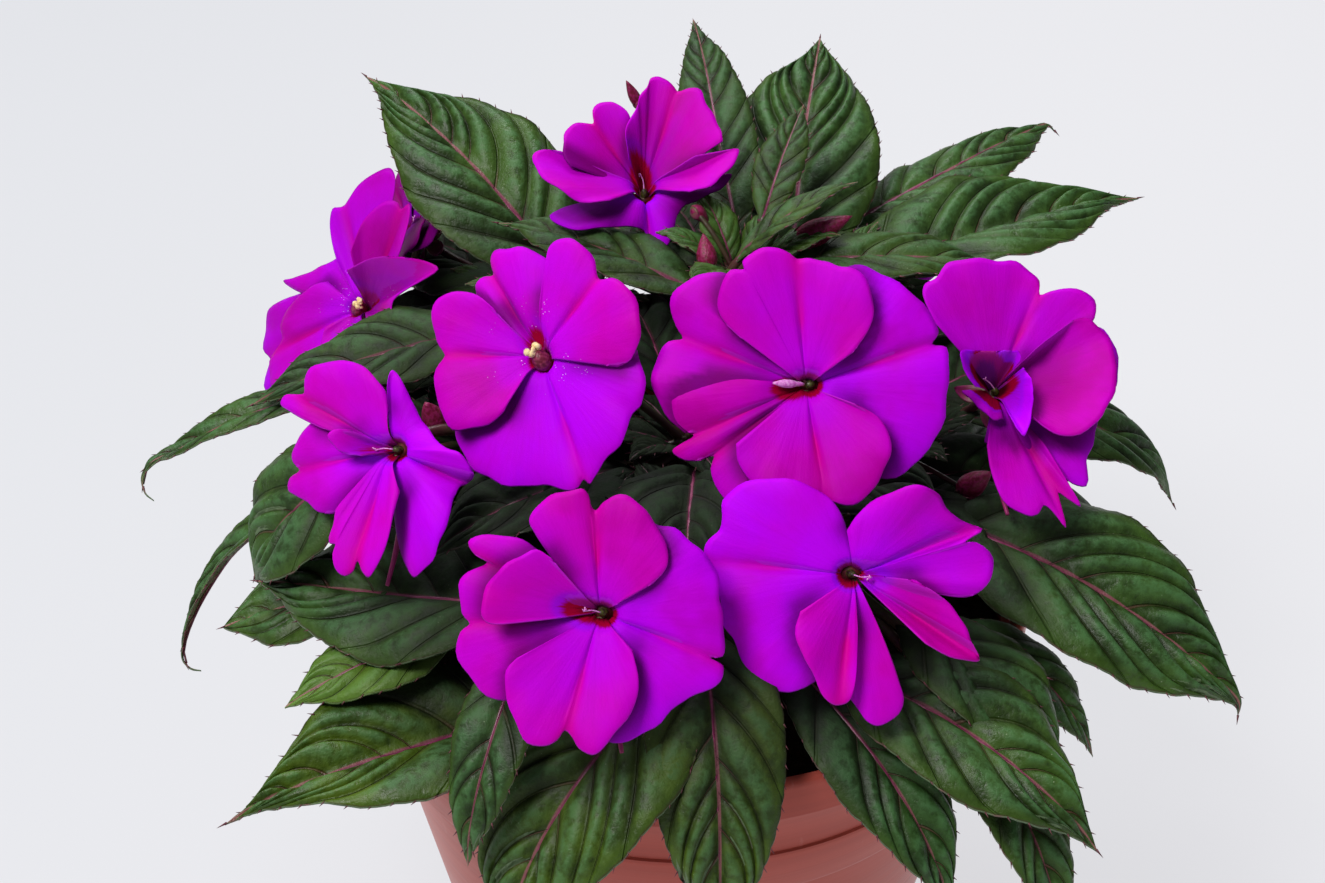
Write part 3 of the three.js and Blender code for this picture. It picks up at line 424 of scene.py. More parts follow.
        heart(118, 23, 42, 3, violet=0.4),
    ]),
    "back_left": flower([-37, 102, 31], [-0.35, 0.75, 0.56], "pistil", [
        heart(168, 25, 60, 0, violet=0.8),
        heart(312, 23, 46, 1, violet=0.4),
        heart(28, 23, 46, 2, violet=0.3),
        heart(254, 23, 42, 3, violet=0.4),
        heart(86, 23, 42, 3, violet=0.3),
    ]),
}

# ---------------------------------------------------------------- colour and finish


def paint(red, green, blue):
    """A colour given by its screen values from 0 to 255, as the shader takes it."""
    def linear(value):
        share = value / 255
        return share / 12.92 if share <= 0.04045 else ((share + 0.055) / 1.055) ** 2.4
    return (linear(red), linear(green), linear(blue), 1.0)


class Wire:
    """A socket's value in a finish, which takes part in sums like a number."""

    def __init__(self, finish, socket):
        self.finish = finish
        self.socket = socket

    def _with(self, operation, *values):
        return self.finish.node("ShaderNodeMath", {"operation": operation}, dict(enumerate(values)))

    def __add__(self, other):
        return self._with("ADD", self, other)

    def __sub__(self, other):
        return self._with("SUBTRACT", self, other)

    def __rsub__(self, other):
        return self._with("SUBTRACT", other, self)

    def __mul__(self, other):
        return self._with("MULTIPLY", self, other)

    def __truediv__(self, other):
        return self._with("DIVIDE", self, other)

    def __rtruediv__(self, other):
        return self._with("DIVIDE", other, self)

    __radd__ = __add__
    __rmul__ = __mul__

    def size(self):
        return self._with("ABSOLUTE", self)

    def cycle(self):
        return self._with("FRACT", self)

    def above(self, other):
        return self._with("GREATER_THAN", self, other)


class Finish:
    """A material whose pattern is written as sums of wires."""

    def __init__(self, name, **even):
        self.material = bpy.data.materials.new(name)
        self.material.use_nodes = True
        self.tree = self.material.node_tree
        self.surface = self.tree.nodes["Principled BSDF"]
        for socket, value in even.items():
            self.set(socket.replace("_", " "), value)

    def _plug(self, socket, value):
        if isinstance(value, Wire):
            self.tree.links.new(value.socket, socket)
        else:
            socket.default_value = value

    def node(self, kind, settings=None, sockets=None, output=0):
        """Adds a node, with its settings first and then the value or wire of each socket."""
        made = self.tree.nodes.new(kind)
        for name, value in (settings or {}).items():
            setattr(made, name, value)
        for name, value in (sockets or {}).items():
            self._plug(made.inputs[name], value)
        return Wire(self, made.outputs[output])

    def set(self, socket, value):
        self._plug(self.surface.inputs[socket], value)

    def place(self, stretch=(1, 1, 1)):
        """The point on the piece, in metres, stretched along each axis."""
        where = self.node("ShaderNodeTexCoord", output="Object")
        return self.node("ShaderNodeMapping", None, {"Vector": where, "Scale": stretch})

    def sheet(self):
        """How far across a blade or petal a point is, from 0 to 1, and how far along it."""
        where = self.node("ShaderNodeUVMap", {"uv_map": "sheet"})
        parts = {"Vector": where}
        across = self.node("ShaderNodeSeparateXYZ", None, parts, "X")
        along = self.node("ShaderNodeSeparateXYZ", None, parts, "Y")
        return across, along

    def painted(self, name):
        return self.node("ShaderNodeAttribute", {"attribute_name": name}, output="Fac")

    def join(self, x, y, z=0.0):
        return self.node("ShaderNodeCombineXYZ", None, {"X": x, "Y": y, "Z": z})

    def cloud(self, where, scale, detail=3.0, rough=0.55):
        sockets = {"Vector": where, "Scale": scale, "Detail": detail, "Roughness": rough}
        return self.node("ShaderNodeTexNoise", None, sockets, "Fac")

    def cells(self, where, scale, feature="F1", output="Distance"):
        sockets = {"Vector": where, "Scale": scale}
        return self.node("ShaderNodeTexVoronoi", {"feature": feature}, sockets, output)

    def ease(self, value, low, high, start=0.0, end=1.0):
        """A smooth step of value from low to high."""
        sockets = {"Value": value, "From Min": low, "From Max": high, "To Min": start, "To Max": end}
        return self.node("ShaderNodeMapRange", {"interpolation_type": "SMOOTHSTEP"}, sockets)

    def blend(self, share, first, second):
        """A colour between two colours."""
        settings = {"data_type": "RGBA", "clamp_factor": True}
        return self.node("ShaderNodeMix", settings, {0: share, 6: first, 7: second}, 2)

    def relief(self, height, depth, under=None):
        """A bump of the given depth in metres, over another one or the bare surface."""
        sockets = {"Height": height, "Distance": depth, "Strength": 1.0}
        if under is not None:
            sockets["Normal"] = under
        return self.node("ShaderNodeBump", None, sockets)


def vein_share(finish, across, width):
    """1 on the side veins of a blade and 0 away from them, and how far a point is from them."""
    phase = (finish.painted("vein") + across.above(0.5) * 0.5).cycle()
    from_vein = 0.5 - (phase - 0.5).size()
    return finish.ease(from_vein, 0.01, width, 1.0, 0.0), from_vein


def leaf_top():
    finish = Finish("leaf_top", Specular_IOR_Level=0.27)
    across, along = finish.sheet()
    side = (across * 2 - 1).size()
    from_rib = finish.painted("from_rib")
    vein, from_vein = vein_share(finish, across, 0.045)
    inner = finish.ease(side, 0.74, 0.97, 1.0, 0.0)
    where = finish.place()
    patch = finish.cloud(where, 75.0, 4.0)
    mottle = finish.cloud(where, 420.0, 4.0, 0.62)
    fine = finish.cloud(where, 1700.0, 3.0)
    sun = finish.painted("sun")

    dark = finish.blend(sun, paint(29, 50, 17), paint(42, 60, 5))
    light = finish.blend(sun, paint(46, 80, 34), paint(76, 98, 18))
    green = finish.blend(finish.ease(patch + (mottle - 0.5) * 0.5, 0.34, 0.66), dark, light)
    # painted sheen: paler blue-green on the crests of the pillows between the side veins
    painted_crest_sheen = finish.ease(from_vein, 0.08, 0.4) * finish.ease(side, 0.03, 0.2) * inner
    green = finish.blend(painted_crest_sheen * finish.ease(mottle, 0.35, 0.62, 0.1, 0.6), green, paint(72, 116, 70))
    # painted shade: dark green along the grooves of the side veins, patchy in strength
    patchy_groove_shade = finish.ease(patch, 0.34, 0.62, 1.0, 0.4)
    valley = finish.ease(from_vein, 0.02, 0.22, 0.62, 0.0) * inner * patchy_groove_shade
    green = finish.blend(valley, green, paint(14, 26, 6))
    green = finish.blend(finish.ease(mottle, 0.4, 0.24, 0.0, 0.4), green, paint(16, 34, 8))
    green = finish.blend(finish.ease(side, 0.8, 1.0, 0.0, 0.5), green, paint(60, 88, 22))
    green = finish.blend(finish.ease(along, 0.86, 1.0, 0.0, 0.4), green, paint(70, 100, 30))
    green = finish.blend(finish.painted("young") * 0.75, green, paint(104, 144, 48))
    plum = finish.ease(from_rib, 0.5, 5.0, 1.0, 0.12) * vein * inner
    green = finish.blend(plum * 0.6, green, paint(92, 54, 50))
    thickness = finish.ease(along, 0.0, 1.0, 0.58, 0.22)
    rib = 1 - finish.ease(from_rib / thickness, 0.7, 1.3)
    green = finish.blend(rib * 0.9, green, finish.blend(along, paint(112, 18, 70), paint(146, 100, 96)))
    green = finish.blend(finish.ease(side, 0.975, 1.0, 0.0, 0.6), green, paint(60, 36, 28))
    speck = finish.cells(where, 620.0)
    dust = finish.ease(speck, 0.05, 0.1, 1.0, 0.0) * finish.ease(patch, 0.5, 0.6) * 0.5
    green = finish.blend(dust, green, paint(170, 186, 150))
    # painted shade: the painted shade value darkens the green towards near-black
    finish.set("Base Color", finish.blend(finish.painted("shade") * 0.86, green, paint(8, 9, 7)))
    finish.set("Roughness", finish.ease(mottle, 0.3, 0.7, 0.36, 0.52) + finish.painted("shade") * 0.35)
    grain = finish.relief(fine, 0.00004)
    finish.set("Normal", finish.relief(mottle - vein * 0.7, 0.00045, grain))
    return finish.material


def leaf_under():
    finish = Finish("leaf_under", Specular_IOR_Level=0.4)
    across, _ = finish.sheet()
    vein, _ = vein_share(finish, across, 0.1)
    where = finish.place()
    patch = finish.cloud(where, 110.0, 4.0)
    green = finish.blend(patch, paint(70, 92, 60), paint(104, 124, 88))
    green = finish.blend(vein * 0.7, green, paint(126, 80, 82))
    green = finish.blend(finish.painted("young") * 0.7, green, paint(126, 160, 80))
    # painted shade: the painted shade value darkens the underside towards near-black
    finish.set("Base Color", finish.blend(finish.painted("shade") * 0.8, green, paint(14, 15, 12)))
    finish.set("Roughness", finish.ease(patch, 0.3, 0.7, 0.5, 0.62))
    net = finish.cells(where, 420.0, "DISTANCE_TO_EDGE")
    finish.set("Normal", finish.relief(finish.ease(net, 0.0, 0.3, 1.0, 0.0) + vein, 0.00015))
    return finish.material


def rib_finish():
    finish = Finish("rib", Specular_IOR_Level=0.5)
    _, along = finish.sheet()
    patch = finish.cloud(finish.place(), 260.0, 3.0)
    red = finish.blend(finish.ease(patch, 0.35, 0.65), paint(96, 18, 60), paint(124, 50, 84))
    red = finish.blend(finish.ease(along, 0.5, 1.0, 0.0, 0.6), red, paint(96, 62, 60))
    finish.set("Base Color", red)
    finish.set("Roughness", finish.ease(patch, 0.3, 0.7, 0.34, 0.46))
    finish.set("Normal", finish.relief(patch, 0.0001))
    return finish.material


def stem_finish():
    finish = Finish("stem", Specular_IOR_Level=0.4)
    patch = finish.cloud(finish.place(), 70.0, 4.0)
    streak = finish.cloud(finish.place((1, 1, 0.12)), 900.0, 2.0)
    green = finish.blend(finish.ease(patch, 0.3, 0.7), paint(58, 70, 36), paint(80, 30, 42))
    green = finish.blend(finish.ease(streak, 0.45, 0.7, 0.0, 0.5), green, paint(56, 20, 32))
    finish.set("Base Color", green)
    finish.set("Roughness", finish.ease(streak, 0.3, 0.7, 0.28, 0.42))
    finish.set("Normal", finish.relief(streak, 0.00012))
    return finish.material


def petal_finish(name, faded):
    finish = Finish(name, Specular_IOR_Level=0.035)
    _, along = finish.sheet()
    where = finish.place()
    soft = finish.cloud(where, 55.0, 3.0)
    swing, violet, eye = finish.painted("swing"), finish.painted("violet"), finish.painted("eye")
    veins = finish.cloud(finish.join(swing * 0.3, along * 2.0, violet * 9), 1.0, 4.0, 0.65)
    thread = finish.cloud(finish.join(swing * 1.1, along * 3.0, violet * 7), 1.0, 2.0)
    groove = finish.painted("groove") * finish.ease(along, 0.2, 0.55)
    tone = violet + (soft - 0.5) * 1.4 + finish.ease(along, 0.15, 0.6, 0.35, 0.0) - groove * 0.3
    colour = finish.blend(tone, paint(193, 0, 156), paint(183, 0, 238))
    colour = finish.blend(finish.ease(veins, 0.42, 0.78, 0.0, 0.12), colour, paint(150, 0, 140))
    colour = finish.blend(finish.ease(thread, 0.5, 0.85, 0.0, 0.08), colour, paint(232, 16, 236))
    colour = finish.blend(finish.ease(soft, 0.46, 0.3, 0.0, 0.3), colour, paint(150, 0, 150))
    blue = finish.ease(eye, 0.1, 0.26) * 0.4 * finish.ease(soft, 0.42, 0.58)
    colour = finish.blend(blue, colour, paint(128, 16, 240))
    flush = groove * finish.ease(groove, 0.4, 0.9) * finish.ease(along, 0.4, 0.9, 0.3, 0.08)
    colour = finish.blend(flush, colour, paint(214, 0, 110))
    # painted shade: dark crimson low inside deeply cupped petals
    colour = finish.blend(finish.painted("painted_cup_shade") * 0.6, colour, paint(140, 0, 84))
    ragged = eye + (veins - 0.5) * 0.4
    colour = finish.blend(finish.ease(ragged, 0.3, 0.5), colour, paint(152, 0, 46))
    colour = finish.blend(finish.ease(ragged, 0.62, 0.95), colour, paint(60, 2, 16))
    grains = finish.cells(where, 1500.0)
    dusted = finish.ease(finish.cloud(where, 150.0, 3.0), 0.5, 0.62)
    patchy = dusted * finish.ease(along, 0.42, 0.56, 1.0, 0.0)
    pollen = finish.ease(grains, 0.1, 0.17, 1.0, 0.0) * patchy * finish.painted("pollen")
    colour = finish.blend(pollen * 0.8, colour, paint(255, 210, 240))
    if faded:
        colour = finish.blend(0.3, colour, paint(176, 50, 214))
    # painted shade: the painted shade value darkens the petal towards dark purple
    finish.set("Base Color", finish.blend(finish.painted("shade") * 0.7, colour, paint(70, 0, 56)))
    finish.set("Roughness", finish.ease(soft, 0.3, 0.7, 0.48, 0.6))
    velvet = finish.relief(finish.cloud(where, 4200.0, 2.0), 0.00005)
    finish.set("Normal", finish.relief(veins + thread * 0.2, 0.0001, velvet))
    return finish.material


def plain_finish(name, first, second, roughness, scale=1500.0, depth=0.0002):
    finish = Finish(name, Specular_IOR_Level=0.4)
    patch = finish.cloud(finish.place(), scale, 3.0)
    finish.set("Base Color", finish.blend(finish.ease(patch, 0.35, 0.65), first, second))
    finish.set("Roughness", finish.ease(patch, 0.3, 0.7, roughness, roughness + 0.15))
    finish.set("Normal", finish.relief(patch, depth))
    return finish.material


def sepal_finish():
    finish = Finish("sepal", Specular_IOR_Level=0.4)
    _, along = finish.sheet()
    patch = finish.cloud(finish.place(), 500.0, 3.0)
    colour = finish.blend(finish.ease(along, 0.1, 0.9), paint(96, 84, 52), paint(150, 36, 100))
    colour = finish.blend(finish.ease(patch, 0.5, 0.75, 0.0, 0.5), colour, paint(120, 30, 70))
    finish.set("Base Color", colour)
    finish.set("Roughness", finish.ease(patch, 0.3, 0.7, 0.42, 0.55))
    finish.set("Normal", finish.relief(patch, 0.0001))
    return finish.material


def pot_finish():
    finish = Finish("pot_plastic", Specular_IOR_Level=0.14)
    where = finish.place()
    lines = finish.cloud(finish.place((0.01, 0.01, 1.0)), 3000.0, 2.0)
    wide_lines = finish.cloud(finish.place((0.01, 0.01, 1.0)), 500.0, 2.0)
    patch = finish.cloud(where, 22.0, 4.0)
    scuff = finish.cloud(finish.place((1, 1, 0.15)), 300.0, 4.0)
    colour = finish.blend(patch, paint(176, 78, 66), paint(194, 92, 80))
    colour = finish.blend(finish.ease(wide_lines, 0.4, 0.7, 0.0, 0.15), colour, paint(140, 64, 60))
    colour = finish.blend(finish.ease(scuff, 0.64, 0.76, 0.0, 0.25), colour, paint(206, 142, 134))
    height = finish.node("ShaderNodeSeparateXYZ", None, {"Vector": where}, "Z")
    dust = finish.ease(height, 0.0, 0.02, 0.4, 0.0) * finish.ease(patch, 0.35, 0.65)
    finish.set("Base Color", finish.blend(dust, colour, paint(150, 112, 92)))
    finish.set("Roughness", finish.ease(lines, 0.3, 0.7, 0.28, 0.36) + dust * 0.3)
    ridges = finish.relief(lines, 0.00002)
    finish.set("Normal", finish.relief(wide_lines, 0.00003, ridges))
    return finish.material


def soil_finish():
    finish = Finish("soil", Specular_IOR_Level=0.25)
    where = finish.place()
    lump = finish.cloud(where, 160.0, 5.0, 0.65)
    grain = finish.cells(where, 620.0)
    colour = finish.blend(finish.ease(lump, 0.3, 0.7), paint(30, 21, 16), paint(66, 47, 34))
    colour = finish.blend(finish.ease(grain, 0.3, 0.7, 0.0, 0.5), colour, paint(24, 17, 13))
    finish.set("Base Color", colour)
    finish.set("Roughness", finish.ease(lump, 0.3, 0.7, 0.8, 0.95))
    finish.set("Normal", finish.relief(lump - grain * 0.4, 0.0012))
    return finish.material


LEAF_TOP = leaf_top()
LEAF_UNDER = leaf_under()
RIB = rib_finish()
STEM_SKIN = stem_finish()
SPINE = plain_finish("leaf_spine", paint(72, 20, 34), paint(112, 62, 70), 0.4)
PETAL_FACE = petal_finish("petal_face", False)
PETAL_BACK = petal_finish("petal_back", True)
THROAT_SKIN = plain_finish("throat", paint(46, 2, 12), paint(90, 6, 20), 0.5, 700.0, 0.0001)
SEPAL = sepal_finish()
CREAM = plain_finish("anther_cream", paint(238, 218, 164), paint(216, 182, 120), 0.6)
MAROON = plain_finish("column_maroon", paint(96, 10, 40), paint(140, 50, 78), 0.35)
TONGUE = plain_finish("tongue_pale", paint(232, 160, 226), paint(206, 96, 196), 0.4)
PISTIL = plain_finish("pistil_green", paint(70, 74, 24), paint(30, 10, 12), 0.35)
BUD_SKIN = plain_finish("bud_wine", paint(104, 12, 40), paint(142, 26, 84), 0.38)
POT_SKIN = pot_finish()
SOIL_SKIN = soil_finish()
PERLITE = plain_finish("perlite", paint(186, 180, 166), paint(148, 138, 122), 0.7)

# ---------------------------------------------------------------- bending grids into parts


def unit(vectors):
    return vectors / np.linalg.norm(vectors, axis=-1, keepdims=True)


def on_plant(place):
    x, y, height = place
    return np.array([x * MM, y * MM, RIM + height * MM])


def mix(first, second, share):
    return first + (second - first) * share


def smooth(value, low, high):
    share = np.clip((value - low) / (high - low), 0, 1)
    return share * share * (3 - 2 * share)


def along_table(table, share):
    """Reads evenly spaced rows of numbers at shares of their length, with straight steps between."""
    table = np.asarray(table, float)
    steps = np.linspace(0, 1, len(table))
    if table.ndim == 1:
        return np.interp(share, steps, table)
    return np.stack([np.interp(share, steps, column) for column in table.T], axis=1)


def bent_grid(columns, rows, shape, painted=()):
    """A grid bent into shape. shape(u, v) takes how far across and along the grid each corner lies,
    from 0 to 1, and gives the corners' places and a value for each painted name."""
    bm = bmesh.new()
    bm.loops.layers.uv.new("sheet")
    bmesh.ops.create_grid(bm, x_segments=columns, y_segments=rows, size=0.5, calc_uvs=True)
    flat = np.array([corner.co for corner in bm.verts]) + 0.5
    places, *values = shape(flat[:, 0], flat[:, 1])
    for corner, place in zip(bm.verts, places.tolist()):
        corner.co = place
    for name, value in zip(painted, values):
        layer = bm.verts.layers.float.new(name)
        for corner, amount in zip(bm.verts, np.broadcast_to(value, len(flat)).tolist()):
            corner[layer] = amount
    return bm


def part_of(bm, *skins):
    """Turns a bmesh into a loose part, to be joined to a piece."""
    mesh = bpy.data.meshes.new("part")
    bm.to_mesh(mesh)
    bm.free()
    mesh.shade_smooth()
    for skin in skins:
        mesh.materials.append(skin)
    part = bpy.data.objects.new("part", mesh)
    bpy.context.scene.collection.objects.link(part)
    return part


def thickened(bm, thickness, face, back):
    """A sheet made solid, with its own skin on the face it had and another on its new back."""
    fronts = set(bm.faces)
    bmesh.ops.solidify(bm, geom=bm.faces[:], thickness=thickness)
    for side in bm.faces:
        side.material_index = 0 if side in fronts else 1
    return part_of(bm, face, back)


def rolled(bm, skin):
    """A grid whose sides meet, closed along its seam and at its ends."""
    bmesh.ops.remove_doubles(bm, verts=bm.verts[:], dist=2e-6)
    bmesh.ops.recalc_face_normals(bm, faces=bm.faces[:])
    return part_of(bm, skin)


def frames_along(path, side=None):
    """A path's heading at each of its points and a direction square to it, which turns as little as
    it can from the first one."""
    heading = unit(np.gradient(path, axis=0))
    if side is None:
        side = np.cross(heading[0], [0.0, 0.0, 1.0])
        if np.linalg.norm(side) < 0.1:
            side = np.array([1.0, 0.0, 0.0])
    sides = []
    for ahead in heading:
        side = unit(side - ahead * np.dot(ahead, side))
        sides.append(side)
    return heading, np.array(sides)


def tube(path, radii, skin, sides=8):
    """A closed round tube through the points of a path, with a radius at each."""
    path = np.concatenate([path[:1], path, path[-1:]])
    path[0] += (path[1] - path[2]) * 1e-3
    path[-1] += (path[-2] - path[-3]) * 1e-3
    radii = np.concatenate([[0.0], radii, [0.0]])
    heading, across = frames_along(path)
    over = np.cross(heading, across)

    def shape(u, v):
        step = np.rint(v * (len(path) - 1)).astype(int)
        turn = (u * TAU)[:, None]
        ring = np.cos(turn) * across[step] + np.sin(turn) * over[step]
        return (path[step] + ring * radii[step][:, None],)

    return rolled(bent_grid(sides, len(path) - 1, shape), skin)


def bezier(handles, share):
    """Points of a cubic curve, at each share of the way along it."""
    first, second, third, last = handles
    t = np.asarray(share, float)[:, None]
    s = 1 - t
    return s**3 * first + 3 * s * s * t * second + 3 * s * t * t * third + t**3 * last


def smooth_path(points, count):
    """Points along a smooth curve through the given ones (a centripetal spline)."""
    points = [np.asarray(point, float) for point in points]
    ends = [2 * points[0] - points[1], *points, 2 * points[-1] - points[-2]]
    made = []
    for share in np.linspace(0, len(points) - 1, count):
        leg = min(int(share), len(points) - 2)
        before, start, stop, after = ends[leg:leg + 4]
        gaps = [max(np.linalg.norm(b - a), 1e-9) ** 0.5 for a, b in
                ((before, start), (start, stop), (stop, after))]
        out = ((start - before) / gaps[0] - (stop - before) / (gaps[0] + gaps[1])
               + (stop - start) / gaps[1]) * gaps[1]
        arrive = ((stop - start) / gaps[1] - (after - start) / (gaps[1] + gaps[2])
                  + (after - stop) / gaps[2]) * gaps[1]
        t = share - leg
        made.append(start + out * t + (3 * (stop - start) - 2 * out - arrive) * t**2
                    + (2 * (start - stop) + out + arrive) * t**3)
    return np.array(made)


def evenly(path, count):
    """The same path with its points evenly spaced."""
    length = np.concatenate([[0], np.cumsum(np.linalg.norm(np.diff(path, axis=0), axis=1))])
    steps = np.linspace(0, length[-1], count)
    return np.stack([np.interp(steps, length, column) for column in path.T], axis=1)


def joined(name, parts):
    """One piece from loose parts."""
    with bpy.context.temp_override(active_object=parts[0], selected_editable_objects=parts):
        bpy.ops.object.join()
    piece = parts[0]
    piece.name = name
    piece.data.name = name
    return piece


def dressed(piece, slot, *nodes):
    """Hands a finished piece to the frame, in the place of its nodes."""
    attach(piece, "root")
    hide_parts(*nodes)
    return piece


# ---------------------------------------------------------------- leaves and stems


def midrib(leaf):
    """A leaf's midrib as evenly spaced points, its heading, the way across the blade and the way its
    upper face looks at each of them."""
    foot, tip = on_plant(leaf["start"]), on_plant(leaf["tip"])
    along = unit(tip - foot)
    up = np.array([0.0, 0.0, 1.0])
    up = unit(up - along * along[2])
    turn = math.radians(leaf["roll"])
    up = up * math.cos(turn) + np.cross(along, up) * math.sin(turn)
    low, high = BLADE["handles"]
    second = mix(foot, tip, low) + up * leaf["rise"] * MM
    third = mix(foot, tip, high) + up * leaf["fall"] * MM
    points = bezier((foot, second, third, tip), np.linspace(0, 1, 9))
    points = [*points, *(on_plant(place) for place in leaf["tail"])]
    path = evenly(smooth_path(points, 240), 120)
    heading, across = frames_along(path, np.cross(along, up))
    return path, heading, across, np.cross(across, heading)


def half_width(share, taper):
    """Half the width of a lance-shaped blade along it, 1 at its widest, drawn out at the tip."""
    swell = BLADE["swell"]
    widest = swell / (swell + taper)
    lance = (share / widest) ** swell * ((1 - share) / (1 - widest)) ** taper
    return lance * (1 - 0.35 * smooth(share, 0.76, 0.95))


def swept(leaf, across, share):
    """How far along a blade a side vein has come, at that share of the way out to the margin. It
    leaves the midrib at the given share of the length and arches forward."""
    length = np.linalg.norm(on_plant(leaf["tip"]) - on_plant(leaf["start"]))
    slant = leaf["width"] / 2 * MM / length
    gone = slant * (0.9 * across + 0.6 * across**2) * half_width(share, leaf["taper"])
    return np.minimum(share + gone, 1.0)


def shade_of(places):
    """How deep inside the plant places lie, from 0 outside to 1 in its heart: the strength of the painted
    shade there.
    """
    out = np.hypot(places[:, 0], places[:, 1] + 8 * MM)
    height = places[:, 2] - RIM
    return (1 - smooth(out, 56 * MM, 98 * MM)) * (1 - smooth(height, 40 * MM, 70 * MM))


def blade(leaf, seed):
    """A leaf's blade: a scalloped margin with fine spines, its face raised in pillows between the
    side veins."""
    path, heading, across_way, face_way = midrib(leaf)
    length = np.linalg.norm(np.diff(path, axis=0), axis=1).sum()
    width = leaf["width"] * MM
    teeth = max(7, round(length / (BLADE["tooth_pitch"] * MM)))
    chance = random.Random(seed)
    first, second, third = (chance.random() * TAU for _ in range(3))
    columns = BLADE["columns"] if width > 20 * MM else 16
    opened, lifted = math.cos(math.radians(leaf["fold"])), math.sin(math.radians(leaf["fold"]))

    veins = max(6.0, length / (BLADE["vein_pitch"] * MM))
    rib_scale = max(1.0, (30 * MM / width) ** 0.7)

    def count_veins(from_foot):
        return veins * from_foot + 0.22 * np.sin(TAU * 2.6 * from_foot + second)

    def place(side, from_foot):
        across = np.abs(side)
        share = swept(leaf, across, from_foot)
        half = np.maximum(width / 2 * half_width(share, leaf["taper"]), BLADE["foot"] * MM * (1 - share))
        bulge = BLADE["valley"] * across - BLADE["shoulder"] * across**2
        beat_of_vein = count_veins(from_foot) + np.where(side > 0, 0.5, 0.0)
        ridge = np.abs(np.sin(math.pi * beat_of_vein)) ** 0.8
        quilt = ridge * smooth(across, 0.0, 0.16) * (1 - 0.7 * across**5) * smooth(share, 0, 0.1)
        quilt *= BLADE["pillow"] * width * (1 - smooth(share, 0.8, 1))
        ripple = np.sin(TAU * 2.1 * share + first + np.where(side > 0, 1.9, 0)) * across**3
        ripple += 0.45 * np.sin(TAU * 4.7 * share + second + np.where(side > 0, 2.6, 0)) * across**4
        ripple *= leaf["wave"] * 0.035 * width * np.sin(math.pi * np.clip(share, 0, 1))
        sway = np.sin(TAU * 0.7 * share + third) * 0.012 * length * smooth(share, 0, 0.5) * (1 - share)
        beat = (share * teeth) % 1
        toothed = smooth(share, 0.04, 0.12) * (1 - smooth(share, 0.93, 1.0))
        scallop = BLADE["scallop"] * MM * np.sin(math.pi * beat) ** 0.7 * toothed * across**12
        reach = side * half + np.sign(side) * scallop
        lift = half * bulge + quilt + ripple + np.abs(reach) * lifted
        middle = along_table(path, share) + along_table(across_way, share) * sway[:, None]
        return (middle + along_table(across_way, share) * (reach * opened)[:, None]
                + along_table(face_way, share) * lift[:, None])

    def shape(u, v):
        side = 2 * u - 1
        places = place(side, v)
        share = swept(leaf, np.abs(side), v)
        from_rib = np.abs(side) * width / 2 * half_width(share, leaf["taper"]) / MM * rib_scale
        # painted shade: darker deep inside the plant and by the leaf's own shade setting, less towards its
        # tip
        shade = np.maximum(shade_of(places), leaf["painted_shade"] * (1 - 0.4 * v))
        return places, count_veins(v), from_rib, leaf["young"], leaf["sun"], shade

    rows = teeth * BLADE["rows_per_tooth"]
    sheet = bent_grid(columns, rows, shape, ("vein", "from_rib", "young", "sun", "shade"))
    parts = [thickened(sheet, BLADE["thickness"] * MM, LEAF_TOP, LEAF_UNDER)]

    spines = bmesh.new()
    shares = np.arange(1, teeth) / teeth
    shares = shares[(shares > 0.07) & (shares < 0.965)]
    steps = np.linspace(0, 1, 400)
    from_foot = np.interp(shares, swept(leaf, 1.0, steps), steps)
    for side in (-1.0, 1.0):
        margin = place(np.full(len(shares), side), from_foot)
        ahead = along_table(heading, shares) * 0.85 + along_table(across_way, shares) * side * 0.5
        ahead = unit(ahead + along_table(face_way, shares) * 0.12)
        for corner, way in zip(margin, ahead):
            size = BLADE["spine"] * MM * chance.uniform(0.75, 1.15)
            turned = Vector(way).to_track_quat("Z", "Y").to_matrix().to_4x4()
            seat = Matrix.Translation(Vector(corner + way * size * 0.36 - along_table(
                face_way, np.array([0.5]))[0] * 0.2 * MM))
            bmesh.ops.create_cone(spines, cap_ends=True, segments=5, radius1=0.24 * MM,
                                  radius2=0.03 * MM, depth=size, matrix=seat @ turned)
    if width > 20 * MM:
        needle = BLADE["needle"] * MM
        turned = Vector(heading[-1]).to_track_quat("Z", "Y").to_matrix().to_4x4()
        seat = Matrix.Translation(Vector(path[-1] + heading[-1] * needle * 0.3))
        bmesh.ops.create_cone(spines, cap_ends=True, segments=6, radius1=0.28 * MM,
                              radius2=0.03 * MM, depth=needle, matrix=seat @ turned)
    parts.append(part_of(spines, SPINE))
    return parts


def rib(leaf):
    """The midrib: proud below the blade, level with it above."""
    path, _, _, face_way = midrib(leaf)
    shares = np.linspace(0, 0.95, 28)
    size = min(1.0, leaf["width"] / 34)
    radii = mix(PETIOLE["end_radius"] * (0.5 + 0.4 * size), 0.22, shares**0.7) * MM
    centre = along_table(path, shares) - along_table(face_way, shares) * (radii * 0.55)[:, None]
    return tube(centre, radii, RIB)


def stem_path(stem, count=20):
    x, y = stem["root"]
    foot = on_plant([x, y, -STEM["below_rim"]])
    knee = on_plant([x, y, STEM["knee"] - STEM["soil_below_rim"]])
    head = on_plant(stem["top"])
    middle = mix(knee, head, 0.5) + np.array([0, 0, STEM["bow"] * MM])
    return smooth_path([foot, knee, middle, head], count)


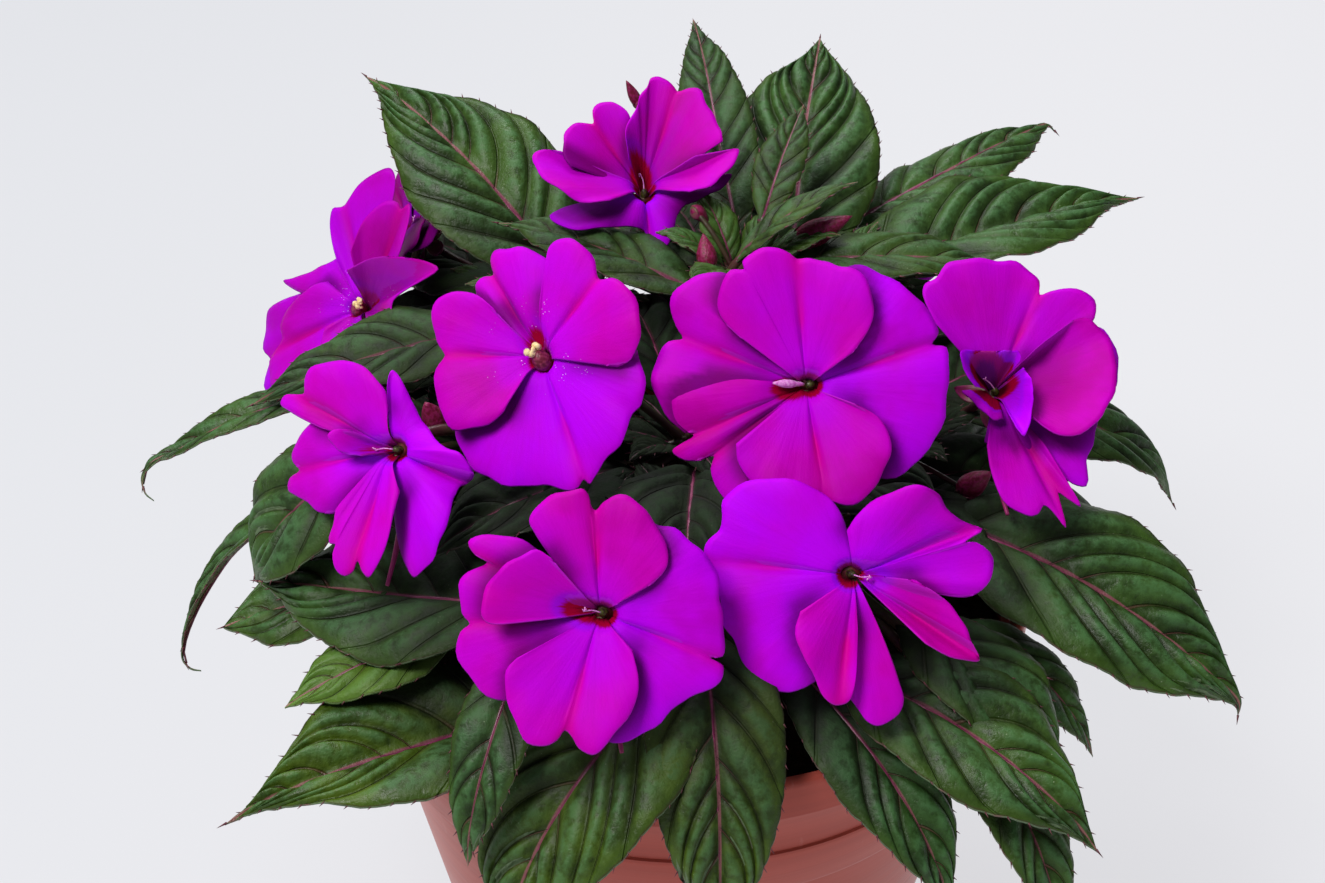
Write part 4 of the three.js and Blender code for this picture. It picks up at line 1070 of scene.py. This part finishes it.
def petiole(start, leaf):
    path, heading, _, face_way = midrib(leaf)
    foot = path[0]
    before = foot - heading[0] * PETIOLE["bend"] * np.linalg.norm(foot - start)
    middle = mix(mix(start, before, PETIOLE["middle"]), foot, PETIOLE["ease"])
    ends = [foot - face_way[0] * 0.5 * MM, path[6] - face_way[6] * 0.9 * MM]
    line = smooth_path([start, middle, *ends], 14)
    size = 0.6 + 0.4 * min(1.0, leaf["width"] / 30)
    radii = np.linspace(PETIOLE["radius"], PETIOLE["end_radius"], 14) * size * MM
    radii[:2] *= [1.5, 1.2]
    return tube(line, radii, STEM_SKIN)


def stalk(start, flower):
    facing = unit(np.array(flower["facing"]))
    seat = on_plant(flower["at"]) - facing * STALK["seat"] * MM
    below = seat - facing * STALK["straight"] * MM
    halfway = mix(start, below, 0.5) + np.array([0, 0, STALK["bow"] * MM])
    path = bezier((start, halfway, below, seat), np.linspace(0, 1, 22))
    radii = np.full(22, STALK["radius"] * MM)
    radii[:2] *= 1.3
    radii[-3:] *= [1.15, 1.4, 1.6]
    return tube(path, radii, STEM_SKIN)


def sepal(foot, along, out, length, width):
    """A small pointed sepal that hugs what it stands on."""
    side = np.cross(along, out)

    def shape(u, v):
        across = 2 * u - 1
        half = width * np.sin(math.pi * np.clip(v, 0.02, 1)) ** 0.7 * (1 - 0.5 * v)
        bow = np.sin(math.pi * v * 0.8) * length * 0.42
        places = (foot + along * (v * length)[:, None] + side * (across * half)[:, None]
                  + out * (bow - across**2 * half * 0.4 + 0.3 * MM)[:, None])
        return (places,)

    return thickened(bent_grid(6, 10, shape), 0.35 * MM, SEPAL, SEPAL)


def bud_parts(start, bud):
    """A plump pointed bud with two sepals at its foot, on a short stalk."""
    foot, tip = on_plant(bud["start"]), on_plant(bud["tip"])
    shares = np.linspace(0, 1, 12)
    body = np.sin(math.pi * shares**0.8) ** 0.8 * (1 - 0.35 * shares) * bud["width"] / 2 * MM * 1.1
    path = mix(foot, tip, shares[:, None])
    neck = smooth_path([start, mix(start, foot, 0.5) + [0, 0, 1.5 * MM], mix(foot, tip, 0.2)], 10)
    parts = [tube(path, body, BUD_SKIN, 12), tube(neck, np.full(10, 0.6 * MM), STEM_SKIN)]
    heading, side = frames_along(np.array([foot, tip]))
    over = np.cross(heading, side)
    for turn in (0.4, 0.4 + math.pi):
        out = side[0] * math.cos(turn) + over[0] * math.sin(turn)
        reach = bud["width"] / 2 * MM
        parts.append(sepal(foot, heading[0], out, reach * 1.9, reach * 0.9))
    return parts


def whorl(stem, seed, count=6):
    """The small young leaves round a stem's growing tip."""
    chance = random.Random(seed)
    x, y, height = stem["top"]
    leaves = []
    for number in range(count):
        turn = TAU * (number + chance.uniform(-0.2, 0.2)) / count
        length, tilt = chance.uniform(18, 26), chance.uniform(0.15, 0.6)
        out, up = length * math.cos(tilt), length * math.sin(tilt)
        way = (math.cos(turn), math.sin(turn))
        start = [x + way[0] * 3.5, y + way[1] * 3.5, height - 1.5]
        tip = [x + way[0] * out, y + way[1] * out, height + up - 2]
        leaves.append(leaf(start, tip, length * 0.42, rise=length * 0.12, fall=length * 0.16,
                           at=0.99, young=chance.uniform(0, 0.3), sun=chance.uniform(0.1, 0.6)))
    return leaves


def leafy_stem(name, stem):
    path = stem_path(stem)
    radii = np.linspace(STEM["radius"], STEM["top_radius"], len(path)) * MM
    radii *= 1 + 0.12 * np.sin(np.linspace(0, 3.3 * TAU, len(path))) ** 6
    radii[-1] *= 0.75
    parts = [tube(path, radii, STEM_SKIN, 14)]
    for number, leaf in enumerate([*stem["leaves"], *whorl(stem, name)]):
        parts += blade(leaf, f"{name}{number}")
        parts.append(rib(leaf))
        parts.append(petiole(along_table(path, np.array([leaf["at"]]))[0], leaf))
    for bud in stem["buds"]:
        parts += bud_parts(along_table(path, np.array([bud["at"]]))[0], bud)
    joint = along_table(path, np.array([STEM["joint"]]))[0]
    parts += [stalk(joint, FLOWERS[flower_name]) for flower_name in stem["flowers"]]
    return dressed(joined(f"foliage_{name}", parts), "leaf", f"leafy_stem_{name}")


# ---------------------------------------------------------------- flowers


def basis_of(flower):
    """A flower's own directions: right, up and facing."""
    facing = unit(np.array(flower["facing"], float))
    up = unit(np.array([0.0, 0.0, 1.0]) - facing * facing[2])
    return np.array([np.cross(up, facing), up, facing])


def opening_of(flower):
    """The way the throat opens on the flower's face, opposite the middle of its back petal."""
    angles = [angle for angle, *_ in flower["petals"][0]["edge"]]
    turn = math.radians((angles[0] + angles[-1]) / 2 + 180)
    return np.array([math.sin(turn), math.cos(turn)])


def edge_table(edge, steps):
    """A petal's edge as smooth rows of angle, distance from the throat and lift."""
    rows = np.array([(*place, 0)[:3] for place in edge], float)
    turn = np.radians(rows[:, 0])
    flat = np.stack([rows[:, 1] * np.sin(turn), rows[:, 1] * np.cos(turn), rows[:, 2]], axis=1)
    curve = smooth_path(flat, steps)
    guide = np.radians(np.interp(np.linspace(0, len(edge) - 1, steps), range(len(edge)), rows[:, 0]))
    angle = guide + (np.arctan2(curve[:, 0], curve[:, 1]) - guide + math.pi) % TAU - math.pi
    angle = np.maximum.accumulate(angle + np.arange(steps) * 1e-4)
    return angle, np.hypot(curve[:, 0], curve[:, 1]), curve[:, 2]


def fading(distance, reach):
    """1 at a place, falling off smoothly round it, to about a third at its reach."""
    return np.exp(-((distance / reach) ** 2))


def shadow_under(petal, flower, angle, reach):
    """Painted shadow: 1 where a petal lies under one of a higher layer and close round it, 0 in the open.
    """
    shade = np.zeros_like(reach)
    for upper in flower["petals"]:
        if upper["layer"] <= petal["layer"]:
            continue
        angles, reaches, _ = edge_table(upper["edge"], 60)
        middle = (angles[0] + angles[-1]) / 2
        turned = (angle - middle + math.pi) % TAU - math.pi + middle
        nearest = np.clip(turned, angles[0], angles[-1])
        beside = np.sin(np.minimum(np.abs(turned - nearest), math.pi / 2)) * reach
        beyond = np.maximum(reach - np.interp(nearest, angles, reaches), 0)
        close = fading(np.hypot(beside, beyond), PETAL["shadow_reach"])
        shade = np.maximum(shade, close * smooth(reach, 3, 11))
    return shade


def petal_part(petal, flower, seed):
    """One petal, dipping into the throat, its lobes domed between its grooves."""
    chance = random.Random(seed)
    first, second, third = (chance.random() * TAU for _ in range(3))
    own = basis_of(flower)
    middle = on_plant(flower["at"])
    opening = opening_of(flower)
    columns = (len(petal["edge"]) - 1) * PETAL["steps"]
    angles, reaches, lifts = edge_table(petal["edge"], columns + 1)
    folds = np.radians([petal["edge"][0][0], *petal["creases"], petal["edge"][-1][0]])
    folds = np.array([angles[0], *folds[1:-1], angles[-1]])

    def shape(u, v):
        step = np.rint(u * columns).astype(int)
        share = mix(PETAL["start"], 1.0, v)
        angle, reach, lift = angles[step], reaches[step] * share, lifts[step]
        nibble = np.sin(13 * angle + first) + np.sin(23 * angle + second)
        reach = reach * (1 + 0.007 * petal["ruffle"] * nibble * share**6)
        lobe = np.clip(np.searchsorted(folds, angle, side="right") - 1, 0, len(folds) - 2)
        wide = folds[lobe + 1] - folds[lobe]
        between = np.clip((angle - folds[lobe]) / wide, 0, 1)
        dome = np.sin(math.pi * between) ** 0.8 * share**1.4 * (1 - 0.5 * share**4)
        dome *= petal["dome"] * np.minimum(wide, 1.1) * 2.5
        groove = np.zeros_like(share)
        for crease in petal["creases"]:
            groove += fading(angle - math.radians(crease), PETAL["groove_width"])
        dip = groove * np.sin(math.pi * np.minimum(share, 0.88)) * 0.9
        wave = np.sin(5.2 * angle + third) * share**2 + 0.6 * np.sin(11 * angle + second) * share**4
        wave += 0.35 * np.sin(21 * angle + first) * share**6
        height = PETAL["layer"] * (petal["layer"] - PETAL["middle_layer"]) * mix(0.3, 1.0, share)
        height = height + (petal["cup"] + lift) * share**1.7 + dome - dip + 0.42 * petal["ruffle"] * wave
        height -= 0.7 * share**10
        flat = np.stack([reach * np.sin(angle), reach * np.cos(angle)], axis=1)
        hole = np.linalg.norm(flat + opening * THROAT["hole"], axis=1)
        away = flat - opening * THROAT["opening"]
        lengthwise = away @ opening
        crosswise = away @ np.array([opening[1], -opening[0]])
        mouth = np.hypot(lengthwise / THROAT["length_to_width"], crosswise)
        height -= 4.5 * fading(hole, 1.9) + 2.4 * fading(mouth, 2.5)
        eye = np.maximum(fading(hole, 2.5) * 1.15, fading(mouth, 3.0) * 0.8 * flower["glow"])
        # deep spreads the throat's dark red over the petal: partly its own red, partly painted shade in the
        # cup
        eye = np.maximum(eye, petal["deep"] * (1 - smooth(share, 0.6, 0.92)))
        places = middle + np.column_stack([flat, height]) * MM @ own
        # painted shade: darker under and close round petals of higher layers, and over the whole flower by
        # its own shade setting
        shade = np.maximum(shadow_under(petal, flower, angle, reach), flower["painted_shade"])
        # painted shade inside deeply cupped petals, fading towards the margin
        painted_cup_shade = smooth(petal["cup"], 3, 9) * (1 - smooth(share, 0.3, 0.9))
        pollen = float(flower["column"] == "pollen")
        return places, petal["violet"], eye, groove, np.degrees(angle), shade, pollen, painted_cup_shade

    painted = ("violet", "eye", "groove", "swing", "shade", "pollen", "painted_cup_shade")
    sheet = bent_grid(columns, PETAL["rows"], shape, painted)
    return thickened(sheet, PETAL["thickness"] * MM, PETAL_FACE, PETAL_BACK)


def throat_parts(flower, seed):
    """The funnel behind the petals, its spur, three sepals and what stands in the throat."""
    own = basis_of(flower)
    middle = on_plant(flower["at"])
    chance = random.Random(seed)
    opening = opening_of(flower)

    def at(right, up, forward):
        return middle + np.array([right, up, forward]) @ own * MM

    def towards(reach, forward, aside=0.0):
        """A place that far out along the throat's opening."""
        right, up = opening * reach + np.array([opening[1], -opening[0]]) * aside
        return at(right, up, forward)

    depth = THROAT["depth"]
    funnel = np.array([towards(-THROAT["hole"] * 0.5, z) for z in np.linspace(-3.4, -depth, 9)])
    parts = [tube(funnel, np.linspace(THROAT["radius"], 1.3, 9) * MM, THROAT_SKIN, 14)]

    bend = chance.uniform(-4, 4)
    spur = smooth_path([at(0, -0.6, -4), at(0, -4, -6.5), at(bend / 2, -11, -8.5),
                        at(bend, -20, -7.5), at(bend * 1.6, -27, -4)], 20)
    parts.append(tube(spur, np.linspace(1.15, 0.42, 20) * MM, SEPAL))
    for turn in (1.15, -1.15, math.pi):
        out = np.array([math.sin(turn), math.cos(turn), 0]) @ own
        parts.append(sepal(at(0, 0, -depth + 0.6), out, -own[2], 7.5 * MM, 2.6 * MM))

    kind = flower["column"]
    hole = -THROAT["hole"]
    if kind == "pollen":
        ends = [towards(hole - 0.6, -4), towards(hole - 0.3, -1.4), towards(hole + 1.6, 0.8)]
        column = smooth_path(ends, 8)
        parts.append(tube(column, np.array([1.2, 1.5, 1.8, 2.0, 2.0, 1.8, 1.4, 0.7]) * MM, MAROON, 14))
        for _ in range(9):
            out, forward = hole + chance.uniform(1.2, 2.5), chance.uniform(0.9, 1.7)
            foot = towards(out, forward, chance.uniform(-1.2, 1.2))
            end = foot + np.array([chance.uniform(-1.0, 1.0) for _ in range(3)]) * MM
            size = chance.uniform(0.6, 0.95) * MM
            parts.append(tube(mix(foot, end, np.linspace(0, 1, 4)[:, None]),
                              np.array([0.5, 1.0, 1.0, 0.5]) * size, CREAM, 8))
    elif kind == "tongue":
        column = smooth_path([towards(hole, -4), towards(hole, -3), towards(hole + 0.2, -1.8)], 8)
        parts.append(tube(column, np.array([0.9, 0.9, 0.95, 1, 1, 0.9, 0.7, 0.4]) * MM, PISTIL, 12))
        tongue = smooth_path([towards(0.4, -2.2, 0.3), towards(2.6, -0.9, 0.7), towards(6.4, 0.9, 1.5)], 10)
        sizes = [0.3, 0.4, 0.5, 0.55, 0.7, 0.85, 0.9, 0.8, 0.5, 0.2]
        parts.append(tube(tongue, np.array(sizes) * MM, TONGUE, 10))
    else:
        ends = [towards(hole, -4.4), towards(hole + 0.2, -3), towards(hole + 0.8, -1.6)]
        column = smooth_path(ends, 8)
        parts.append(tube(column, np.array([0.8, 0.8, 0.85, 0.9, 0.9, 0.8, 0.6, 0.3]) * MM, PISTIL, 12))
        ends = [towards(hole + 0.6, -1.8), towards(hole + 2.2, -0.7, 0.2), towards(hole + 3.6, 0.3, -0.1)]
        style = smooth_path(ends, 8)
        parts.append(tube(style, np.full(8, 0.14 * MM), TONGUE, 6))
        for _ in range(5):
            spread = np.array([chance.uniform(-0.6, 0.6) for _ in range(3)]) * MM
            branch = smooth_path([style[-1], towards(hole + 3.7, 0.4, 0) + spread], 4)
            parts.append(tube(branch, np.array([0.1, 0.14, 0.16, 0.08]) * MM, TONGUE, 6))
    return parts


def bloom(name, flower):
    parts = [petal_part(one, flower, f"{name}{number}") for number, one in enumerate(flower["petals"])]
    parts += throat_parts(flower, name)
    return dressed(joined(f"flower_{name}", parts), "petal", f"bloom_{name}")


# ---------------------------------------------------------------- pot and soil


def potting():
    """The pot, turned from its section, with round-edged rim, step, bead and ledge, and drain holes."""
    wall, floor, base, height = POT["wall"], POT["floor"], POT["foot_radius"], RIM / MM
    ledge, band = height - POT["ledge"], height - POT["band"]
    section = [
        (0, 0), (base - 1.2, 0), (base, 1.2), (base + 4.2, 22), (71, ledge - 1.2), (71.2, ledge),
        (72.6, ledge + 0.3), (73, ledge + 1.2), (74.4, height - 26.8), (75.0, height - 26.4),
        (75.0, height - 25.6), (74.5, height - 25.2), (75.9, band - 0.8), (76.4, band), (78.9, band),
        (79.5, band + 0.5), (79.9, height - 2.2), (79.8, height - 0.9), (79.2, height - 0.2),
        (78.6, height), (78.2, height - 0.1), (77.7, height - 0.8), (75.6, band), (73.8, band - 0.8),
        (70.9, ledge), (68.9, ledge - wall), (55.2 - wall, floor + 1), (base - wall, floor), (0, floor),
    ]
    bm = bmesh.new()
    corners = [bm.verts.new((radius * MM, 0, level * MM)) for radius, level in section]
    edges = [bm.edges.new(pair) for pair in zip(corners, corners[1:])]
    bmesh.ops.spin(bm, geom=corners + edges, cent=(0, 0, 0), axis=(0, 0, 1), angle=TAU, steps=POT["steps"],
                   use_merge=True, use_duplicate=False)
    bmesh.ops.remove_doubles(bm, verts=bm.verts[:], dist=1e-6)
    bmesh.ops.recalc_face_normals(bm, faces=bm.faces[:])
    pot = part_of(bm, POT_SKIN)

    drills = []
    bore, circle = DRAIN["radius"] * MM, DRAIN["circle"] * MM
    for number in range(DRAIN["count"]):
        turn = TAU * (number + 0.5) / DRAIN["count"]
        drill = bmesh.new()
        bmesh.ops.create_cone(drill, cap_ends=True, segments=DRAIN["segments"], radius1=bore,
                              radius2=bore, depth=DRAIN["depth"] * MM)
        bmesh.ops.translate(drill, verts=drill.verts[:], vec=(circle * math.cos(turn),
                                                             circle * math.sin(turn), 0))
        drills.append(part_of(drill, POT_SKIN))
    drills = joined("drills", drills)
    cut = pot.modifiers.new("drains", "BOOLEAN")
    cut.object = drills
    cut.operation = "DIFFERENCE"
    cut.solver = "EXACT"
    solid = bpy.data.meshes.new_from_object(pot.evaluated_get(bpy.context.evaluated_depsgraph_get()))
    pot.modifiers.clear()
    pot.data = solid
    bpy.data.objects.remove(drills)
    bm = bmesh.new()
    bm.from_mesh(solid)
    bmesh.ops.recalc_face_normals(bm, faces=bm.faces[:])
    bm.to_mesh(solid)
    bm.free()
    solid.shade_smooth()
    solid.set_sharp_from_angle(angle=math.radians(POT["sharp_degrees"]))
    return dressed(joined("flower_pot", [pot]), "pot_plastic", "pot")


def soil_level(x, y):
    """The height of the soil's top, in metres, at a place on it."""
    lumps = noise.fractal(Vector((x * 90, y * 90, 0.5)), 0.8, 2.1, 4)
    distance = math.hypot(x, y) / POT_RADIUS
    return SOIL_TOP - 2.2 * MM - 3.4 * MM * distance**2 + 1.5 * MM * lumps


def soil():
    """Crumbly potting soil: a turned body with an uneven top, crumbs and perlite lying on it."""
    low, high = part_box("potting_soil")
    base, wide = 51.0 * MM, high.x - 0.2 * MM
    bottom, edge = low.z, SOIL_TOP - 6.5 * MM

    def shape(u, v):
        turn = u * TAU
        top = v <= 0.72
        out = np.where(top, v / 0.72, 1.0)
        radius = np.where(top, wide * out**0.8, 0)
        level = np.zeros_like(v)
        wall = (v > 0.72) & (v <= 0.9)
        down = (v - 0.72) / 0.18
        radius = np.where(wall, mix(wide, base, down), radius)
        radius = np.where(v > 0.9, base * (1 - (v - 0.9) / 0.1), radius)
        level = np.where(wall, mix(edge, bottom, down), np.where(v > 0.9, bottom, level))
        x, y = radius * np.cos(turn), radius * np.sin(turn)
        heights = [soil_level(a, b) if on else c for a, b, on, c in zip(x, y, top, level)]
        return (np.stack([x, y, heights], axis=1),)

    parts = [rolled(bent_grid(110, 50, shape), SOIL_SKIN)]
    chance = random.Random(11)
    for number in range(420):
        radius = (wide - 3 * MM) * chance.random() ** 0.5
        turn = chance.random() * TAU
        x, y = radius * math.cos(turn), radius * math.sin(turn)
        size = chance.uniform(0.7, 2.2) * MM
        bm = bmesh.new()
        bmesh.ops.create_icosphere(bm, subdivisions=1, radius=size)
        for corner in bm.verts:
            corner.co *= chance.uniform(0.7, 1.15)
        squash = Matrix.Diagonal((1, chance.uniform(0.6, 1), chance.uniform(0.45, 0.9), 1))
        turned = Matrix.Rotation(chance.random() * TAU, 4, "Z") @ squash
        bmesh.ops.transform(bm, matrix=turned, verts=bm.verts[:])
        level = soil_level(x, y) + size * 0.2
        bmesh.ops.translate(bm, verts=bm.verts[:], vec=(x, y, level))
        parts.append(part_of(bm, PERLITE if number % 14 == 0 else SOIL_SKIN))
    return dressed(joined("soil_filling", parts), "soil", "potting_soil")


# ---------------------------------------------------------------- floor, light and camera


def floor():
    bm = bmesh.new()
    bmesh.ops.create_circle(bm, cap_ends=True, segments=96, radius=14.0)
    finish = Finish("floor_pale", Specular_IOR_Level=0.0, Emission_Strength=0.65)
    where = finish.place()
    tint = finish.cloud(where, 1.2, 2.0)
    across = finish.node("ShaderNodeSeparateXYZ", None, {"Vector": where}, "X")
    # the floor glows, bluer and dimmer towards -x and brighter towards +x: painted light for a pale
    # backdrop
    glow = finish.blend(finish.ease(across, -0.35, 0.35), (0.92, 0.935, 0.98, 1), (1.05, 1.05, 1.09, 1))
    finish.set("Emission Color", glow)
    finish.set("Base Color", finish.blend(tint, (0.15, 0.15, 0.155, 1), (0.17, 0.17, 0.175, 1)))
    finish.set("Roughness", 0.9)
    ground = part_of(bm, finish.material)
    ground.name = "floor"


def softbox(name, place, aim, size, power, colour):
    light = bpy.data.lights.new(name, "AREA")
    light.shape = "RECTANGLE"
    light.size, light.size_y = size
    light.energy = power
    light.color = colour
    lamp = bpy.data.objects.new(name, light)
    lamp.location = place
    lamp.rotation_mode = "QUATERNION"
    lamp.rotation_quaternion = (Vector(aim) - Vector(place)).to_track_quat("-Z", "Y")
    bpy.context.scene.collection.objects.link(lamp)


def studio():
    world = bpy.data.worlds.new("studio")
    world.use_nodes = True
    sky = world.node_tree.nodes["Background"]
    sky.inputs["Color"].default_value = (0.95, 0.97, 1.0, 1)
    sky.inputs["Strength"].default_value = 0.16
    bpy.context.scene.world = world
    softbox("key", (-0.5, -0.5, 1.25), (0, 0, 0.17), (0.45, 0.45), 16.0, (1.0, 0.98, 0.97))
    softbox("sheen", (-0.25, 0.75, 1.2), (0, 0, 0.15), (0.9, 0.6), 11.0, (0.96, 0.98, 1.0))


def camera():
    """Looks down on the plant through a lens of about 54 mm."""
    lens = bpy.data.cameras.new("camera")
    lens.sensor_width = CAMERA["sensor"]
    lens.lens = CAMERA["lens"]
    lens.clip_start, lens.clip_end = 0.01, 50
    eye = bpy.data.objects.new("camera", lens)
    eye.location = CAMERA["eye"]
    eye.rotation_euler = (math.radians(90 - CAMERA["down"]), 0, math.radians(CAMERA["turn"]))
    bpy.context.scene.collection.objects.link(eye)
    bpy.context.scene.camera = eye


potting()
soil()
for stem_name, one_stem in STEMS.items():
    leafy_stem(stem_name, one_stem)
for flower_name, one_flower in FLOWERS.items():
    bloom(flower_name, one_flower)
floor()
studio()
camera()
bpy.context.scene.view_settings.view_transform = "Standard"
